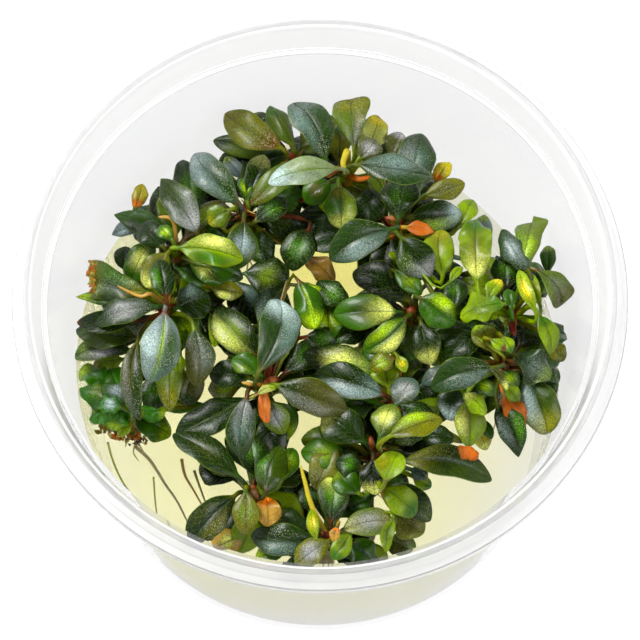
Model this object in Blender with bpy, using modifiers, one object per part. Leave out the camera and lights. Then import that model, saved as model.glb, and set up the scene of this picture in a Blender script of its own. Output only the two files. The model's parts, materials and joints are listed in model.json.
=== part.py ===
"""A clear tissue-culture cup of bucephalandra: plantlets rooted in a bed of gel.

Sizes are in millimetres and turn into metres when a mesh is made. The origin
is the middle of the cup's base, +Z is up and the photograph looks along +Y,
from above. A leaf's place is read off a level plane through the foliage, and
`on_sight_line` then moves it to its real height along the line to the eye.
"""

import bpy
import bmesh
from math import atan, cos, pi, radians, sin
from mathutils import Matrix, Vector

MM = 0.001
COLLECTION = "bucephalandra_cup"
GAP = 0.3

# The cup: a thin tapered wall under a rolled rim.
RIM_RADIUS = 50.0
RIM_EDGE_HEIGHT = 61.75
CUP_HEIGHT = 64.0
LIP_RADIUS = 46.4
CORNER_RADIUS = 44.9
CORNER_HEIGHT = 57.75
BASE_RADIUS = 40.5
BASE_FILLET = 0.9
WALL = 0.9
HEM = 1.6
RIM_ROUND = 0.4
SCREW_MERGE = 0.00005
CUP_SEGMENTS = 44

# The gel: a bed that set on a slope, a little higher on the left.
GEL_DEPTH = 25.7
GEL_SLOPE = 0.063

# The line of sight that the places in the tables were read along.
EYE_ELEVATION = radians(69.13)
EYE_DISTANCE = 500.0
READ_HEIGHT = 42.0

# Foliage: leaves stand in layers, one above another, higher at the back.
LOWEST_LAYER = 34.5
LAYER_PITCH = 2.2
BACKWARD_RISE = 0.10
LEAF_THICKNESS = 0.5
PETIOLE_WIDTH = 0.9
PETIOLE_DROP = 1.6
PETIOLE_PITCH = 0.9
BLADE_ARCH = 0.12
BLADE_BOW = 0.07
BLADE_STEPS = (0.0, 0.12, 0.32, 0.56, 0.80, 0.94, 1.0)
BLADE_COLUMNS = 2
LEAFLET_STEPS = (0.0, 0.18, 0.5, 0.84, 1.0)
LEAFLET_COLUMNS = 1
BLUNT_END = 0.25
WIDEST_SHIFT = 0.95
FULLNESS = 0.55
LAYERS_ABOVE_CROWN = 3
STEM_RADIUS = 1.2
STEM_SEGMENTS = 6
STEM_FOOT_DEPTH = 3.0
STEM_TIP = 0.5
STEM_TIP_SHARE = 0.7
STEM_SHOULDER = 3.0
STEM_FOOT_SHARE = 0.8
GROWN_IN_SHARE = 0.4

# Base colour and roughness of each tint of leaf.
TINTS = {
    "dark": ((0.030, 0.055, 0.030), 0.42),
    "teal": ((0.045, 0.100, 0.085), 0.38),
    "blue": ((0.085, 0.130, 0.170), 0.36),
    "silver": ((0.200, 0.270, 0.270), 0.36),
    "green": ((0.070, 0.170, 0.035), 0.42),
    "lime": ((0.260, 0.420, 0.060), 0.45),
    "olive": ((0.150, 0.165, 0.045), 0.45),
    "bronze": ((0.130, 0.100, 0.075), 0.45),
    "yellow": ((0.600, 0.480, 0.090), 0.50),
}

# Where each plantlet's crown is seen (x, y), and its layer.
CROWNS = {
    "left": (-25.8, 5.3, 4),
    "left_back": (-24.5, 15.5, 4),
    "back_left": (-13.0, 23.0, 4),
    "back": (-5.0, 32.6, 4),
    "back_right": (4.5, 30.0, 4),
    "centre": (13.0, 19.5, 4),
    "inner": (15.5, 4.5, 4),
    "right": (32.5, 4.0, 4),
    "right_front": (31.0, -4.6, 4),
    "middle": (-9.2, -8.7, 4),
    "centre_front": (11.8, -11.5, 4),
    "front_right": (9.0, -20.5, 4),
    "front_left": (-11.0, -27.0, 4),
    "front": (1.2, -35.0, 4),
    "low_left": (-31.5, -15.0, 0),
}

# The large leaves, each a piece of its own: where the blade starts (x, y) and
# ends (x, y), its width, its layer, how far the tip droops, its roll in
# degrees about its own length, and its tint.
LEAVES = {
    "left": (
        (-29.0, 7.5, -38.7, 10.2, 6.5, 5, 1.5, -14, "teal"),
        (-27.5, 5.0, -38.0, 2.0, 5.0, 6, 1.5, 10, "bronze"),
        (-31.0, -0.5, -41.2, 1.0, 5.0, 4, 1.0, -8, "olive"),
        (-32.0, -2.8, -41.2, -3.6, 4.5, 3, 0.5, 12, "bronze"),
        (-26.2, 4.0, -28.3, -8.5, 6.8, 7, 2.5, -12, "silver"),
        (-20.0, 1.0, -19.6, -9.3, 5.0, 5, 2.0, -6, "dark"),
        (-30.5, -1.0, -30.2, -15.0, 4.2, 5, 2.0, 10, "bronze"),
    ),
    "left_back": (
        (-22.5, 17.5, -27.7, 28.7, 5.0, 4, 1.0, -10, "blue"),
        (-23.5, 15.2, -16.2, 13.5, 4.5, 7, 1.5, 12, "lime"),
    ),
    "back_left": (
        (-13.7, 24.8, -21.5, 33.5, 5.5, 5, 1.5, -12, "blue"),
        (-13.0, 20.5, -14.3, 11.7, 5.5, 6, 2.0, -14, "blue"),
    ),
    "back": (
        (-6.7, 34.3, -16.8, 40.0, 5.7, 5, 1.0, -10, "olive"),
        (-1.5, 35.0, -3.5, 43.7, 6.3, 6, 0.0, 12, "blue"),
    ),
    "back_right": (
        (3.0, 30.3, -9.0, 28.0, 5.5, 7, 1.5, 12, "silver"),
        (5.8, 35.0, 5.3, 43.9, 5.8, 5, 0.0, -10, "olive"),
        (7.0, 31.2, 18.7, 29.0, 6.0, 7, 1.5, -14, "teal"),
        (3.2, 27.0, 3.7, 19.2, 5.7, 5, 2.0, -10, "green"),
    ),
    "centre": (
        (15.3, 21.3, 24.2, 22.0, 5.5, 4, 1.5, 10, "dark"),
        (11.5, 18.8, 1.8, 13.8, 6.0, 7, 2.0, -12, "teal"),
        (13.8, 17.5, 18.7, 10.5, 6.2, 6, 2.0, 14, "blue"),
    ),
    "inner": (
        (17.0, 6.5, 22.8, 2.0, 5.8, 6, 1.5, 12, "olive"),
        (14.5, 3.0, 7.3, -3.0, 4.8, 5, 1.5, -12, "olive"),
    ),
    "right": (
        (36.0, 9.8, 42.0, 5.8, 5.0, 6, 1.0, -14, "green"),
        (26.5, 9.5, 26.5, 21.0, 5.8, 6, 1.0, 10, "lime"),
        (31.0, 5.5, 23.5, 3.2, 5.0, 7, 1.5, 12, "lime"),
        (36.8, 3.5, 38.9, -3.4, 3.6, 7, 1.5, -10, "green"),
    ),
    "right_front": (
        (32.7, -3.6, 38.8, -7.6, 6.0, 5, 1.5, -10, "teal"),
        (34.3, -7.0, 37.9, -17.5, 6.5, 4, 1.5, 12, "blue"),
        (29.0, -6.0, 18.5, -9.5, 5.5, 7, 1.5, -14, "dark"),
        (29.8, -12.5, 32.5, -21.2, 5.0, 4, 1.5, 10, "dark"),
    ),
    "middle": (
        (-10.3, -6.6, -6.5, 6.5, 6.6, 7, 2.0, 12, "silver"),
        (-11.8, -7.8, -18.5, -7.0, 5.0, 4, 1.5, -10, "dark"),
        (-12.3, -10.6, -24.0, -16.6, 5.8, 3, 1.0, 8, "dark"),
        (-12.2, -11.2, -13.0, -21.8, 5.0, 6, 2.0, -12, "teal"),
        (-7.3, -9.0, 4.3, -13.3, 5.8, 6, 1.5, 14, "bronze"),
    ),
    "centre_front": (
        (10.8, -10.8, -1.5, -7.3, 6.0, 5, 1.5, -12, "blue"),
    ),
    "front_right": (
        (11.5, -18.0, 20.3, -14.8, 5.0, 8, 1.5, -14, "olive"),
        (13.5, -22.0, 28.0, -24.8, 5.8, 5, 2.0, -10, "dark"),
        (11.0, -26.5, 18.2, -32.6, 5.0, 4, 1.5, 12, "dark"),
    ),
    "front_left": (
        (-13.5, -25.0, -24.0, -18.0, 5.5, 5, 1.5, 12, "dark"),
        (-14.0, -28.5, -21.5, -37.0, 5.5, 4, 2.0, -12, "dark"),
    ),
    "front": (
        (-0.5, -35.8, -11.5, -35.0, 5.6, 4, 1.5, -6, "blue"),
        (3.6, -34.4, 12.3, -32.8, 5.5, 5, 1.5, -12, "dark"),
    ),
}

# Smaller leaves, fused to the stem that they grow from: the same values, and
# the stem's own colour is the tint of the first of them.
LEAFLETS = {
    "left": (
        (-24.0, 4.8, -18.6, 6.8, 5.8, 4, 1.0, 4, "dark"),
        (-24.5, -0.5, -25.0, -13.5, 4.2, 3, 1.0, -8, "olive"),
    ),
    "left_back": (
        (-26.0, 14.5, -29.6, 8.6, 4.0, 6, 1.0, 10, "olive"),
        (-25.5, 18.0, -35.3, 22.0, 3.6, 3, 0.5, -12, "green"),
        (-21.5, 21.5, -23.5, 32.0, 5.0, 2, 0.0, 8, "dark"),
        (-26.5, 15.8, -30.0, 20.5, 4.2, 5, 0.5, -10, "dark"),
        (-21.5, 15.5, -16.5, 9.0, 3.8, 4, 1.0, 12, "green"),
    ),
    "back_left": (
        (-12.3, 25.0, -9.5, 33.0, 3.8, 4, 1.0, 10, "dark"),
        (-15.5, 22.5, -19.0, 20.0, 3.6, 5, 1.0, -10, "olive"),
        (-11.0, 20.5, -5.5, 24.5, 3.8, 4, 1.0, 8, "olive"),
    ),
    "back": (
        (-4.6, 34.5, -8.6, 42.3, 3.6, 4, 0.0, 10, "green"),
        (-8.5, 32.5, -18.4, 35.7, 3.6, 2, 0.0, -8, "green"),
    ),
    "back_right": (
        (7.4, 32.8, 10.2, 40.4, 4.2, 3, 0.0, 10, "yellow"),
    ),
    "centre": (
        (13.2, 21.0, 14.0, 28.5, 6.0, 5, 1.0, -10, "dark"),
        (14.6, 24.5, 17.2, 36.0, 4.8, 3, 0.0, 12, "green"),
        (17.0, 16.5, 22.0, 11.5, 4.4, 4, 0.5, -8, "olive"),
        (8.0, 16.5, -3.0, 15.5, 4.8, 3, 1.0, 10, "dark"),
    ),
    "inner": (
        (15.0, 6.0, 5.5, 11.5, 5.5, 4, 1.0, -10, "dark"),
        (17.0, 2.0, 18.6, -5.4, 4.6, 4, 1.0, 10, "green"),
        (13.0, 4.0, 2.2, 3.6, 5.6, 4, 1.0, -8, "green"),
        (19.0, 0.5, 27.0, -2.0, 4.8, 3, 1.0, 10, "dark"),
    ),
    "right": (
        (33.8, 9.0, 36.3, 20.0, 4.0, 3, 0.5, 12, "lime"),
        (31.0, 8.0, 23.8, 9.2, 4.0, 3, 0.5, -10, "lime"),
        (31.5, 8.5, 31.8, 14.3, 4.4, 5, 0.5, 8, "green"),
    ),
    "right_front": (
        (24.6, -11.6, 24.8, -19.8, 4.8, 4, 1.5, -12, "lime"),
        (29.0, -3.0, 26.2, 1.6, 4.2, 5, 1.0, 10, "olive"),
        (24.0, -9.5, 21.3, -15.2, 4.8, 3, 0.5, 8, "silver"),
    ),
    "middle": (
        (-8.8, -11.8, -6.0, -17.6, 4.0, 4, 1.0, 10, "green"),
        (-9.8, -5.0, -17.8, 4.0, 4.8, 4, 1.0, -10, "bronze"),
        (-7.0, -2.5, -7.5, 9.5, 5.5, 3, 0.0, 8, "dark"),
    ),
    "centre_front": (
        (12.6, -12.6, 15.6, -7.8, 4.4, 6, 1.0, -14, "blue"),
        (10.0, -8.0, -2.4, -4.0, 4.8, 3, 0.5, 8, "dark"),
        (11.5, -9.5, 10.8, -5.0, 4.2, 4, 0.5, -10, "lime"),
    ),
    "front_right": (
        (7.4, -19.0, 0.6, -13.2, 5.8, 5, 1.0, -8, "dark"),
        (8.8, -22.0, 9.0, -28.2, 4.2, 6, 1.5, 12, "bronze"),
        (10.0, -18.0, 12.0, -12.2, 4.4, 7, 0.5, -12, "green"),
        (10.5, -27.0, 15.8, -31.6, 4.4, 5, 1.5, 10, "lime"),
        (7.0, -23.5, 2.6, -22.5, 4.0, 4, 0.5, -8, "green"),
        (10.8, -25.8, 13.0, -20.8, 4.6, 7, 0.5, -14, "lime"),
    ),
    "front_left": (
        (-12.3, -27.6, -12.2, -35.0, 4.0, 5, 1.5, 10, "olive"),
        (-9.0, -27.5, -6.5, -19.6, 4.8, 5, 1.0, -10, "green"),
        (-10.8, -25.0, -12.0, -17.5, 4.8, 3, 0.5, 8, "dark"),
    ),
    "front": (
        (1.8, -33.0, 2.2, -24.6, 4.6, 4, 1.0, 8, "green"),
        (1.5, -36.0, -4.2, -40.2, 4.6, 5, 2.0, 12, "olive"),
        (5.0, -36.5, 8.8, -39.6, 4.6, 3, 1.0, -10, "green"),
        (-1.8, -33.8, -8.6, -31.2, 4.0, 3, 0.5, 8, "dark"),
    ),
    "low_left": (
        (-33.0, -13.0, -39.0, -9.8, 4.6, 2, 1.0, 12, "lime"),
        (-30.0, -15.5, -26.0, -16.6, 4.2, 1, 0.5, -10, "green"),
        (-33.0, -11.0, -35.0, -6.5, 4.6, 1, 0.5, 10, "green"),
    ),
}


def clear_scene():
    for item in list(bpy.data.objects):
        bpy.data.objects.remove(item, do_unlink=True)


def collection(name):
    group = bpy.data.collections.get(name) or bpy.data.collections.new(name)
    if name not in bpy.context.scene.collection.children:
        bpy.context.scene.collection.children.link(group)
    return group


def finish(name, colour, roughness, metallic=0.0):
    """Make a Principled material of one colour."""
    material = bpy.data.materials.new(name + "_finish")
    material.use_nodes = True
    shader = material.node_tree.nodes["Principled BSDF"]
    shader.inputs["Base Color"].default_value = (*colour, 1.0)
    shader.inputs["Roughness"].default_value = roughness
    shader.inputs["Metallic"].default_value = metallic
    return material


def place(name, mesh, material=None, guide=False):
    """Put a mesh in the scene as a part, or as a guide that cuts or joins."""
    item = bpy.data.objects.new(name, mesh)
    collection(COLLECTION + "_guides" if guide else COLLECTION).objects.link(item)
    if material:
        mesh.materials.append(material)
    if guide:
        item.hide_render = True
        item.display_type = "WIRE"
    return item


def turned(name, profile, segments, material=None, guide=False):
    """Turn a profile of (radius, height) points about Z."""
    mesh = bpy.data.meshes.new(name)
    points = [(radius * MM, 0.0, height * MM) for radius, height in profile]
    mesh.from_pydata(points, [(i, i + 1) for i in range(len(points) - 1)], [])
    item = place(name, mesh, material, guide)
    screw = item.modifiers.new("turn", "SCREW")
    screw.steps = segments
    screw.render_steps = segments
    screw.use_merge_vertices = True
    screw.merge_threshold = SCREW_MERGE
    return item


def combine(item, other, operation):
    boolean = item.modifiers.new(operation.lower(), "BOOLEAN")
    boolean.operation = operation
    boolean.solver = "EXACT"
    boolean.object = other


def on_sight_line(x, y, height):
    """Move a point seen on the reading plane to its real height."""
    eye = Vector((0.0, -EYE_DISTANCE * cos(EYE_ELEVATION),
                  RIM_EDGE_HEIGHT + EYE_DISTANCE * sin(EYE_ELEVATION)))
    seen = Vector((x, y, READ_HEIGHT))
    return seen.lerp(eye, (height - READ_HEIGHT) / (eye.z - READ_HEIGHT))


def layer_height(layer, y):
    return LOWEST_LAYER + LAYER_PITCH * layer + BACKWARD_RISE * y


def wall_radius(height):
    """Give the inner wall's radius at a height."""
    share = height / CORNER_HEIGHT
    return BASE_RADIUS + (CORNER_RADIUS - BASE_RADIUS) * share - WALL


def crown_top(name):
    x, y, layer = CROWNS[name]
    return on_sight_line(x, y, layer_height(layer, y))


def gel_height(x):
    return GEL_DEPTH - GEL_SLOPE * x


def make_cup():
    rim_top = RIM_EDGE_HEIGHT + RIM_ROUND
    profile = (
        (0.0, WALL),
        (BASE_RADIUS - WALL - BASE_FILLET, WALL),
        (wall_radius(WALL + BASE_FILLET), WALL + BASE_FILLET),
        (CORNER_RADIUS - WALL, CORNER_HEIGHT),
        (LIP_RADIUS - WALL, CUP_HEIGHT - RIM_ROUND),
        (LIP_RADIUS - RIM_ROUND, CUP_HEIGHT),
        (LIP_RADIUS + RIM_ROUND, CUP_HEIGHT),
        (RIM_RADIUS - RIM_ROUND, rim_top),
        (RIM_RADIUS, RIM_EDGE_HEIGHT),
        (RIM_RADIUS, RIM_EDGE_HEIGHT - HEM),
        (RIM_RADIUS - WALL, RIM_EDGE_HEIGHT - HEM),
        (RIM_RADIUS - WALL, rim_top - WALL),
        (LIP_RADIUS, CUP_HEIGHT - WALL - RIM_ROUND),
        (CORNER_RADIUS, CORNER_HEIGHT),
        (BASE_RADIUS, BASE_FILLET),
        (BASE_RADIUS - BASE_FILLET, 0.0),
        (0.0, 0.0),
    )
    turned("cup", profile, CUP_SEGMENTS, finish("cup", (0.92, 0.94, 0.95), 0.12))


def make_gel():
    """Turn a block of gel, slope its top, and leave a pocket for each stem."""
    tallest = GEL_DEPTH + 2.0 * GEL_SLOPE * RIM_RADIUS
    lowest = WALL + GAP
    fillet_top = lowest + BASE_FILLET
    profile = (
        (0.0, tallest),
        (wall_radius(tallest) - GAP, tallest),
        (wall_radius(fillet_top) - GAP, fillet_top),
        (wall_radius(0.0) - BASE_FILLET - GAP, lowest),
        (0.0, lowest),
    )
    gel = turned("gel", profile, CUP_SEGMENTS, finish("gel", (0.72, 0.68, 0.42), 0.15))
    mesh = bpy.data.meshes.new("gel_slope")
    block = bmesh.new()
    size = 3.0 * RIM_RADIUS
    bmesh.ops.create_cube(block, size=size * MM)
    block.to_mesh(mesh)
    block.free()
    slope = place("gel_slope", mesh, guide=True)
    slope.rotation_euler = (0.0, atan(GEL_SLOPE), 0.0)
    lift = Vector((0.0, 0.0, 0.5 * size))
    lift.rotate(slope.rotation_euler)
    slope.location = (lift + Vector((0.0, 0.0, GEL_DEPTH))) * MM
    combine(gel, slope, "DIFFERENCE")
    for name in CROWNS:
        top = crown_top(name)
        bottom = gel_height(top.x) - STEM_FOOT_DEPTH - GAP
        radius = STEM_RADIUS + GAP
        sides = ((0.0, tallest), (radius, tallest), (radius, bottom), (0.0, bottom))
        pocket = turned("pocket_" + name, sides, STEM_SEGMENTS, guide=True)
        pocket.location = (top.x * MM, top.y * MM, 0.0)
        combine(gel, pocket, "DIFFERENCE")


def blade_half_width(share, width):
    """Give the half width of a blade at a share of its length."""
    curve = sin(pi * share ** WIDEST_SHIFT) ** FULLNESS if 0.0 < share < 1.0 else 0.0
    return 0.5 * width * max(BLUNT_END, curve)


def leaf_mesh(name, crown, row, grows_in):
    """Bend a strip of faces into a petiole and its blade.

    A leaf that is a piece of its own starts just off its stem, and one that
    is fused starts inside it, which `grows_in` says.
    """
    base_x, base_y, tip_x, tip_y, width, layer, droop, roll, _ = row
    height = layer_height(layer, base_y)
    base = on_sight_line(base_x, base_y, height)
    tip = on_sight_line(tip_x, tip_y, height - droop)
    stem_top = crown_top(crown)
    outward = Vector((base.x - stem_top.x, base.y - stem_top.y, 0.0)).normalized()
    reach = GROWN_IN_SHARE * STEM_RADIUS if grows_in else STEM_RADIUS + LEAF_THICKNESS
    start = stem_top + outward * reach
    layers_below = CROWNS[crown][2] + LAYERS_ABOVE_CROWN - layer
    start.z -= PETIOLE_DROP + PETIOLE_PITCH * layers_below
    along = (tip - base).normalized()
    side = Vector((0.0, 0.0, 1.0)).cross(along).normalized()
    side.rotate(Matrix.Rotation(radians(roll), 3, along))
    normal = along.cross(side)
    petiole_side = Vector((-outward.y, outward.x, 0.0))
    if petiole_side.dot(side) < 0.0:
        petiole_side.negate()
    steps = LEAFLET_STEPS if grows_in else BLADE_STEPS
    columns = LEAFLET_COLUMNS if grows_in else BLADE_COLUMNS
    rows = len(steps)
    strip = bmesh.new()
    bmesh.ops.create_grid(strip, x_segments=columns, y_segments=rows, size=1.0)
    for vert in strip.verts:
        across = vert.co.x
        step = round((vert.co.y + 1.0) * 0.5 * rows) - 1
        if step < 0:
            point = start + petiole_side * across * 0.5 * PETIOLE_WIDTH
        else:
            share = steps[step]
            half = max(blade_half_width(share, width), 0.5 * PETIOLE_WIDTH)
            bow = 4.0 * share * (1.0 - share) * BLADE_BOW * (tip - base).length
            point = base.lerp(tip, share) + side * half * across
            point += normal * (bow - BLADE_ARCH * half * across * across)
        vert.co = point * MM
    bmesh.ops.recalc_face_normals(strip, faces=strip.faces)
    mesh = bpy.data.meshes.new(name)
    strip.to_mesh(mesh)
    strip.free()
    return mesh


def thicken(item):
    solid = item.modifiers.new("thickness", "SOLIDIFY")
    solid.thickness = LEAF_THICKNESS * MM
    solid.offset = 0.0


def make_leaves(crown):
    for number, row in enumerate(LEAVES.get(crown, ()), 1):
        name = f"leaf_{crown}_{number}"
        colour, roughness = TINTS[row[-1]]
        mesh = leaf_mesh(name, crown, row, grows_in=False)
        thicken(place(name, mesh, finish(name, colour, roughness)))


def make_stem(crown):
    """Turn a stem that stands in its pocket, and fuse its smaller leaves to it."""
    top = crown_top(crown)
    surface = gel_height(top.x)
    profile = (
        (0.0, top.z),
        (STEM_RADIUS * STEM_TIP_SHARE, top.z - STEM_TIP),
        (STEM_RADIUS, top.z - STEM_SHOULDER),
        (STEM_RADIUS * STEM_FOOT_SHARE, surface),
        (STEM_RADIUS * STEM_FOOT_SHARE, surface - STEM_FOOT_DEPTH),
        (0.0, surface - STEM_FOOT_DEPTH),
    )
    colour, roughness = TINTS[LEAFLETS[crown][0][-1]]
    name = "stem_" + crown
    stem = turned(name, profile, STEM_SEGMENTS, finish(name, colour, roughness))
    stem.location = (top.x * MM, top.y * MM, 0.0)
    for number, row in enumerate(LEAFLETS[crown], 1):
        leaflet = f"leaflet_{crown}_{number}"
        guide = place(leaflet, leaf_mesh(leaflet, crown, row, grows_in=True), guide=True)
        thicken(guide)
        combine(stem, guide, "UNION")


def main():
    clear_scene()
    make_cup()
    make_gel()
    for crown in CROWNS:
        make_stem(crown)
        make_leaves(crown)


main()
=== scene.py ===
"""Looks for a culture cup of bucephalandra: the clear cup, its gel, and every leaf."""

import json
from math import cos, exp, hypot, pi, radians, sin
from random import Random

import bmesh
import bpy
from bpy.props import FloatProperty, FloatVectorProperty, IntProperty
from mathutils import Matrix, Vector
from mathutils.noise import noise


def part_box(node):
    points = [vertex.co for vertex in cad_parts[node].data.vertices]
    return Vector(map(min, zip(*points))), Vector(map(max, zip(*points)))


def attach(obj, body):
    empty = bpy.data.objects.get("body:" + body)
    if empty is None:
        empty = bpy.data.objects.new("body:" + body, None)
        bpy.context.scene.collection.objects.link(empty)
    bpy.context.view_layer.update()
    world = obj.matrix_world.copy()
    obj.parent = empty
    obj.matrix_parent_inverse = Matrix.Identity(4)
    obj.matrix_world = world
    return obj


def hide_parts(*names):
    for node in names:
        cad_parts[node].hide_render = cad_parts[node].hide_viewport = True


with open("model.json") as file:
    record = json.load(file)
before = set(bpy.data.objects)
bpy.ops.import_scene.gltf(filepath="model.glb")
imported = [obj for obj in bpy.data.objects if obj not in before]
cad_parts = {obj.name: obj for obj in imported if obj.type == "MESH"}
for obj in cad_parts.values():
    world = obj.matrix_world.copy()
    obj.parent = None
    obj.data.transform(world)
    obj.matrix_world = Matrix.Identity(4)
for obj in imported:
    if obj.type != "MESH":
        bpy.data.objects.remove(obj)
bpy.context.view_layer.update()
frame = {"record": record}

bl_info = {
    "name": "Bucephalandra cup",
    "version": (1, 0, 0),
    "blender": (4, 5, 0),
    "location": "View3D > Sidebar > Aquarium",
    "description": "Builds the looks of a culture cup of bucephalandra",
    "category": "Object",
}

MM = 0.001
ROOT = "root"

# The cup and the gel, in millimetres. The gel's slope is its fall per millimetre
# to the right, its meniscus has a height and a width, and its wrinkles follow
# noise that is scaled by so much on each axis, and again for the finer ones.
RIM_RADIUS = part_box("cup")[1].x / MM
CUP_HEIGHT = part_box("cup")[1].z / MM
RIM_EDGE_HEIGHT = 61.75
LIP_RADIUS = 47.5
CORNER_RADIUS = 45.3
CORNER_HEIGHT = 57.75
BASE_RADIUS = 40.5
HEM = 1.6
CUP_FLOOR = 0.9
GEL_DEPTH = 25.7
GEL_SLOPE = 0.063
GEL_GAP = 0.12
GEL_WALL = CUP_FLOOR + GEL_GAP
GEL_RINGS = 26
# The spot among the plants where the gel is painted with shade (x, y, height).
SHADED_SPOT = (1.8, 17.9, GEL_DEPTH)
MENISCUS = (0.8, 0.7)
WRINKLE_PITCH = (0.11, 0.16)
FINE_WRINKLE = 3.1
SPIN_STEPS = 144
ROUNDING_STEPS = 4

# The line of sight that the leaves' places were read along, and the camera on it.
EYE_ELEVATION = radians(69.13)
EYE_DISTANCE = 500.0
READ_HEIGHT = 42.0
LENS = 173.6
SENSOR = 36.0
AIM_DROP = 4.46

# Each lamp: its place and its size in metres, and its share of the key's power.
LAMPS = {"key": ((-0.32, 0.26, 0.54), 0.26, 1.0), "fill": ((0.34, -0.24, 0.50), 0.30, 0.35)}
LAMP_AIM = Vector((0.0, 0.0, 0.04))
FLOOR_RADIUS = 3.0
FLOOR_DROP = 0.0002

# Foliage: the layers that leaves stand in, their petioles, and the stems.
LOWEST_LAYER = 34.5
LAYER_PITCH = 2.2
BACKWARD_RISE = 0.10
LAYERS_ABOVE_CROWN = 3
PETIOLE_DROP = 1.6
PETIOLE_PITCH = 0.9
STEM_RADIUS = 1.2
STEM_FOOT_DEPTH = 3.0
ROOTS_PER_STEM = 6
CROWN_FIBRES = 14
THICKEST_PETIOLE = 0.38
WALL_CLEARANCE = 1.6

# How small leaves and fill leaves are meshed (faces around, faces along), how
# much wider they are than read, and how much darker the fill leaves are painted,
# as painted shade under the leaves above them.
SMALL_MESH = (24, 21)
FILL_MESH = (16, 15)
LUSHNESS = 1.15
FILL_SHADE = 0.70

# What each leaf draws for itself: extra roll in degrees, its bow and sideways
# bend as shares of its length, its twist in degrees, the waves along its
# margins, the hook at its tip, its shade, and its petiole's tint.
ROLL = 4.0
BOW = (0.07, 0.15)
BEND = 0.08
TWIST = 24.0
WAVES = (1.2, 2.4)
HOOK = 0.10
SHADE = (0.85, 1.15)
PETIOLE_TINTS = ("red", "brown", "olive", "lime", "olive", "green", "green")
FIBRE_TINTS = ("red", "red", "brown", "orange", "amber", "black")

# Roots lie this deep under the gel where they start, and sink by so much at
# each point; stalks run under their layer and rise from under the crown's top.
ROOT_COVER = 1.2
ROOT_SINK = 2.0
STALK_SINK = 0.5
STALK_START = 0.6

# Finishes: the share of light that foliage gives back, how far a strong and a
# faint patch cover a blade, the size of each pattern in millimetres, the veins
# on a blade, and the index of refraction of wax.
FOLIAGE_LIGHT = 0.68
STRONG = 0.95
FAINT = 0.45
MOTTLE_SIZE = 2.2
GRAIN_SIZE = 0.24
SPECK_SIZE = 0.26
VEINS_ALONG = 46.0
VEIN_SWEEP = 15.0
VEIN_WANDER = 3.0
WAX = 1.36

# The gel's tints apart from its own colour: painted shade at the right, the painted
# yellow cast of light through and off the leaves under the plants, painted shade at
# a spot among them, and a paler front; its clearness, and its index of
# refraction, near 1 so that what stands in it isn't bent or hidden.
GEL_RIGHT_SHADE = (0.93, 0.925, 0.80)
GEL_LEAF_LIGHT = (0.95, 0.90, 0.40)
GEL_SPOT_SHADE = (0.90, 0.78, 0.16)
GEL_FRONT = (0.95, 0.95, 0.90)
GEL_CLEARNESS = 0.92
GEL_INDEX = 1.012

# Colours as a screen shows them, from 0 to 255. Silver, pale and lavender are painted
# highlights on the blades; blue and sheen are the leaves' own bluish tone with painted sheen;
# black is painted shade on the leaves in the deep gaps, and the own colour of dark fibres;
# root is the roots' own tan, painted lighter for the light that the gel keeps from them.
COLOURS = {
    "dark": (30, 54, 0),
    "moss": (64, 90, 2),
    "teal": (46, 74, 30),
    "blue": (80, 104, 92),
    "silver": (142, 162, 160),
    "sheen": (152, 172, 118),
    "pale": (176, 200, 196),
    "lavender": (150, 152, 152),
    "green": (62, 112, 0),
    "vivid": (66, 144, 6),
    "lime": (156, 192, 4),
    "olive": (132, 134, 0),
    "sage": (108, 134, 26),
    "bronze": (88, 90, 26),
    "brown": (104, 66, 20),
    "yellow": (230, 212, 40),
    "cream": (220, 228, 104),
    "orange": (250, 124, 0),
    "amber": (222, 170, 66),
    "red": (140, 36, 0),
    "black": (16, 28, 6),
    "underside": (88, 128, 14),
    "edge": (150, 184, 50),
    "speck": (216, 222, 172),
    "grey": (166, 154, 134),
    "root": (216, 202, 166),
}

# Where a patch of another colour lies on a blade: its centre across (left is
# positive, seen from the petiole) and along, and its spread both ways.
PLACES = {
    "tip": (0.0, 0.88, 1.4, 0.22),
    "base": (0.0, 0.10, 1.4, 0.26),
    "middle": (0.0, 0.50, 0.70, 0.28),
    "left": (0.55, 0.50, 0.50, 0.36),
    "right": (-0.55, 0.50, 0.50, 0.36),
    "rib": (0.0, 0.42, 0.11, 0.55),
    "end": (0.0, 1.0, 1.8, 0.09),
}

# Forms of a blade: where it is widest, how full its base and its tip are, how
# its halves fold up, how its margins arch down, how they ripple, how deep the
# notch at its tip is, and how far its end slants.
FORMS = {
    "oval": (0.52, 0.78, 0.58, 0.16, 0.12, 0.06, 0.00, 0.00),
    "spoon": (0.62, 0.82, 0.44, 0.14, 0.14, 0.06, 0.05, 0.00),
    "round": (0.50, 0.56, 0.54, 0.08, 0.18, 0.08, 0.00, 0.00),
    "lance": (0.44, 0.78, 0.84, 0.20, 0.08, 0.06, 0.00, 0.00),
    "strap": (0.55, 0.50, 0.38, 0.14, 0.12, 0.12, 0.03, 0.00),
    "fan": (0.86, 0.96, 0.20, 0.20, 0.06, 0.10, 0.12, 0.00),
    "torn": (0.92, 0.84, 0.10, 0.16, 0.06, 0.14, 0.00, -0.10),
    "curled": (0.50, 0.60, 0.54, -0.10, 0.55, 0.26, 0.00, 0.00),
    "folded": (0.50, 0.70, 0.62, 0.50, 0.10, 0.12, 0.00, 0.00),
    "wavy": (0.52, 0.70, 0.58, 0.14, 0.10, 0.30, 0.02, 0.00),
}

# How thickly the pale specks lie on each tint.
SPECKS = {
    "dark": 0.5, "teal": 0.5, "blue": 0.5, "silver": 0.5, "green": 0.15, "lime": 0.2, "olive": 0.6,
    "sage": 0.5, "bronze": 0.5, "yellow": 0.1, "orange": 0.0, "amber": 0.1, "cream": 0.1,
    "vivid": 0.15, "moss": 0.4, "black": 0.4, "sheen": 0.4,
}

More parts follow.
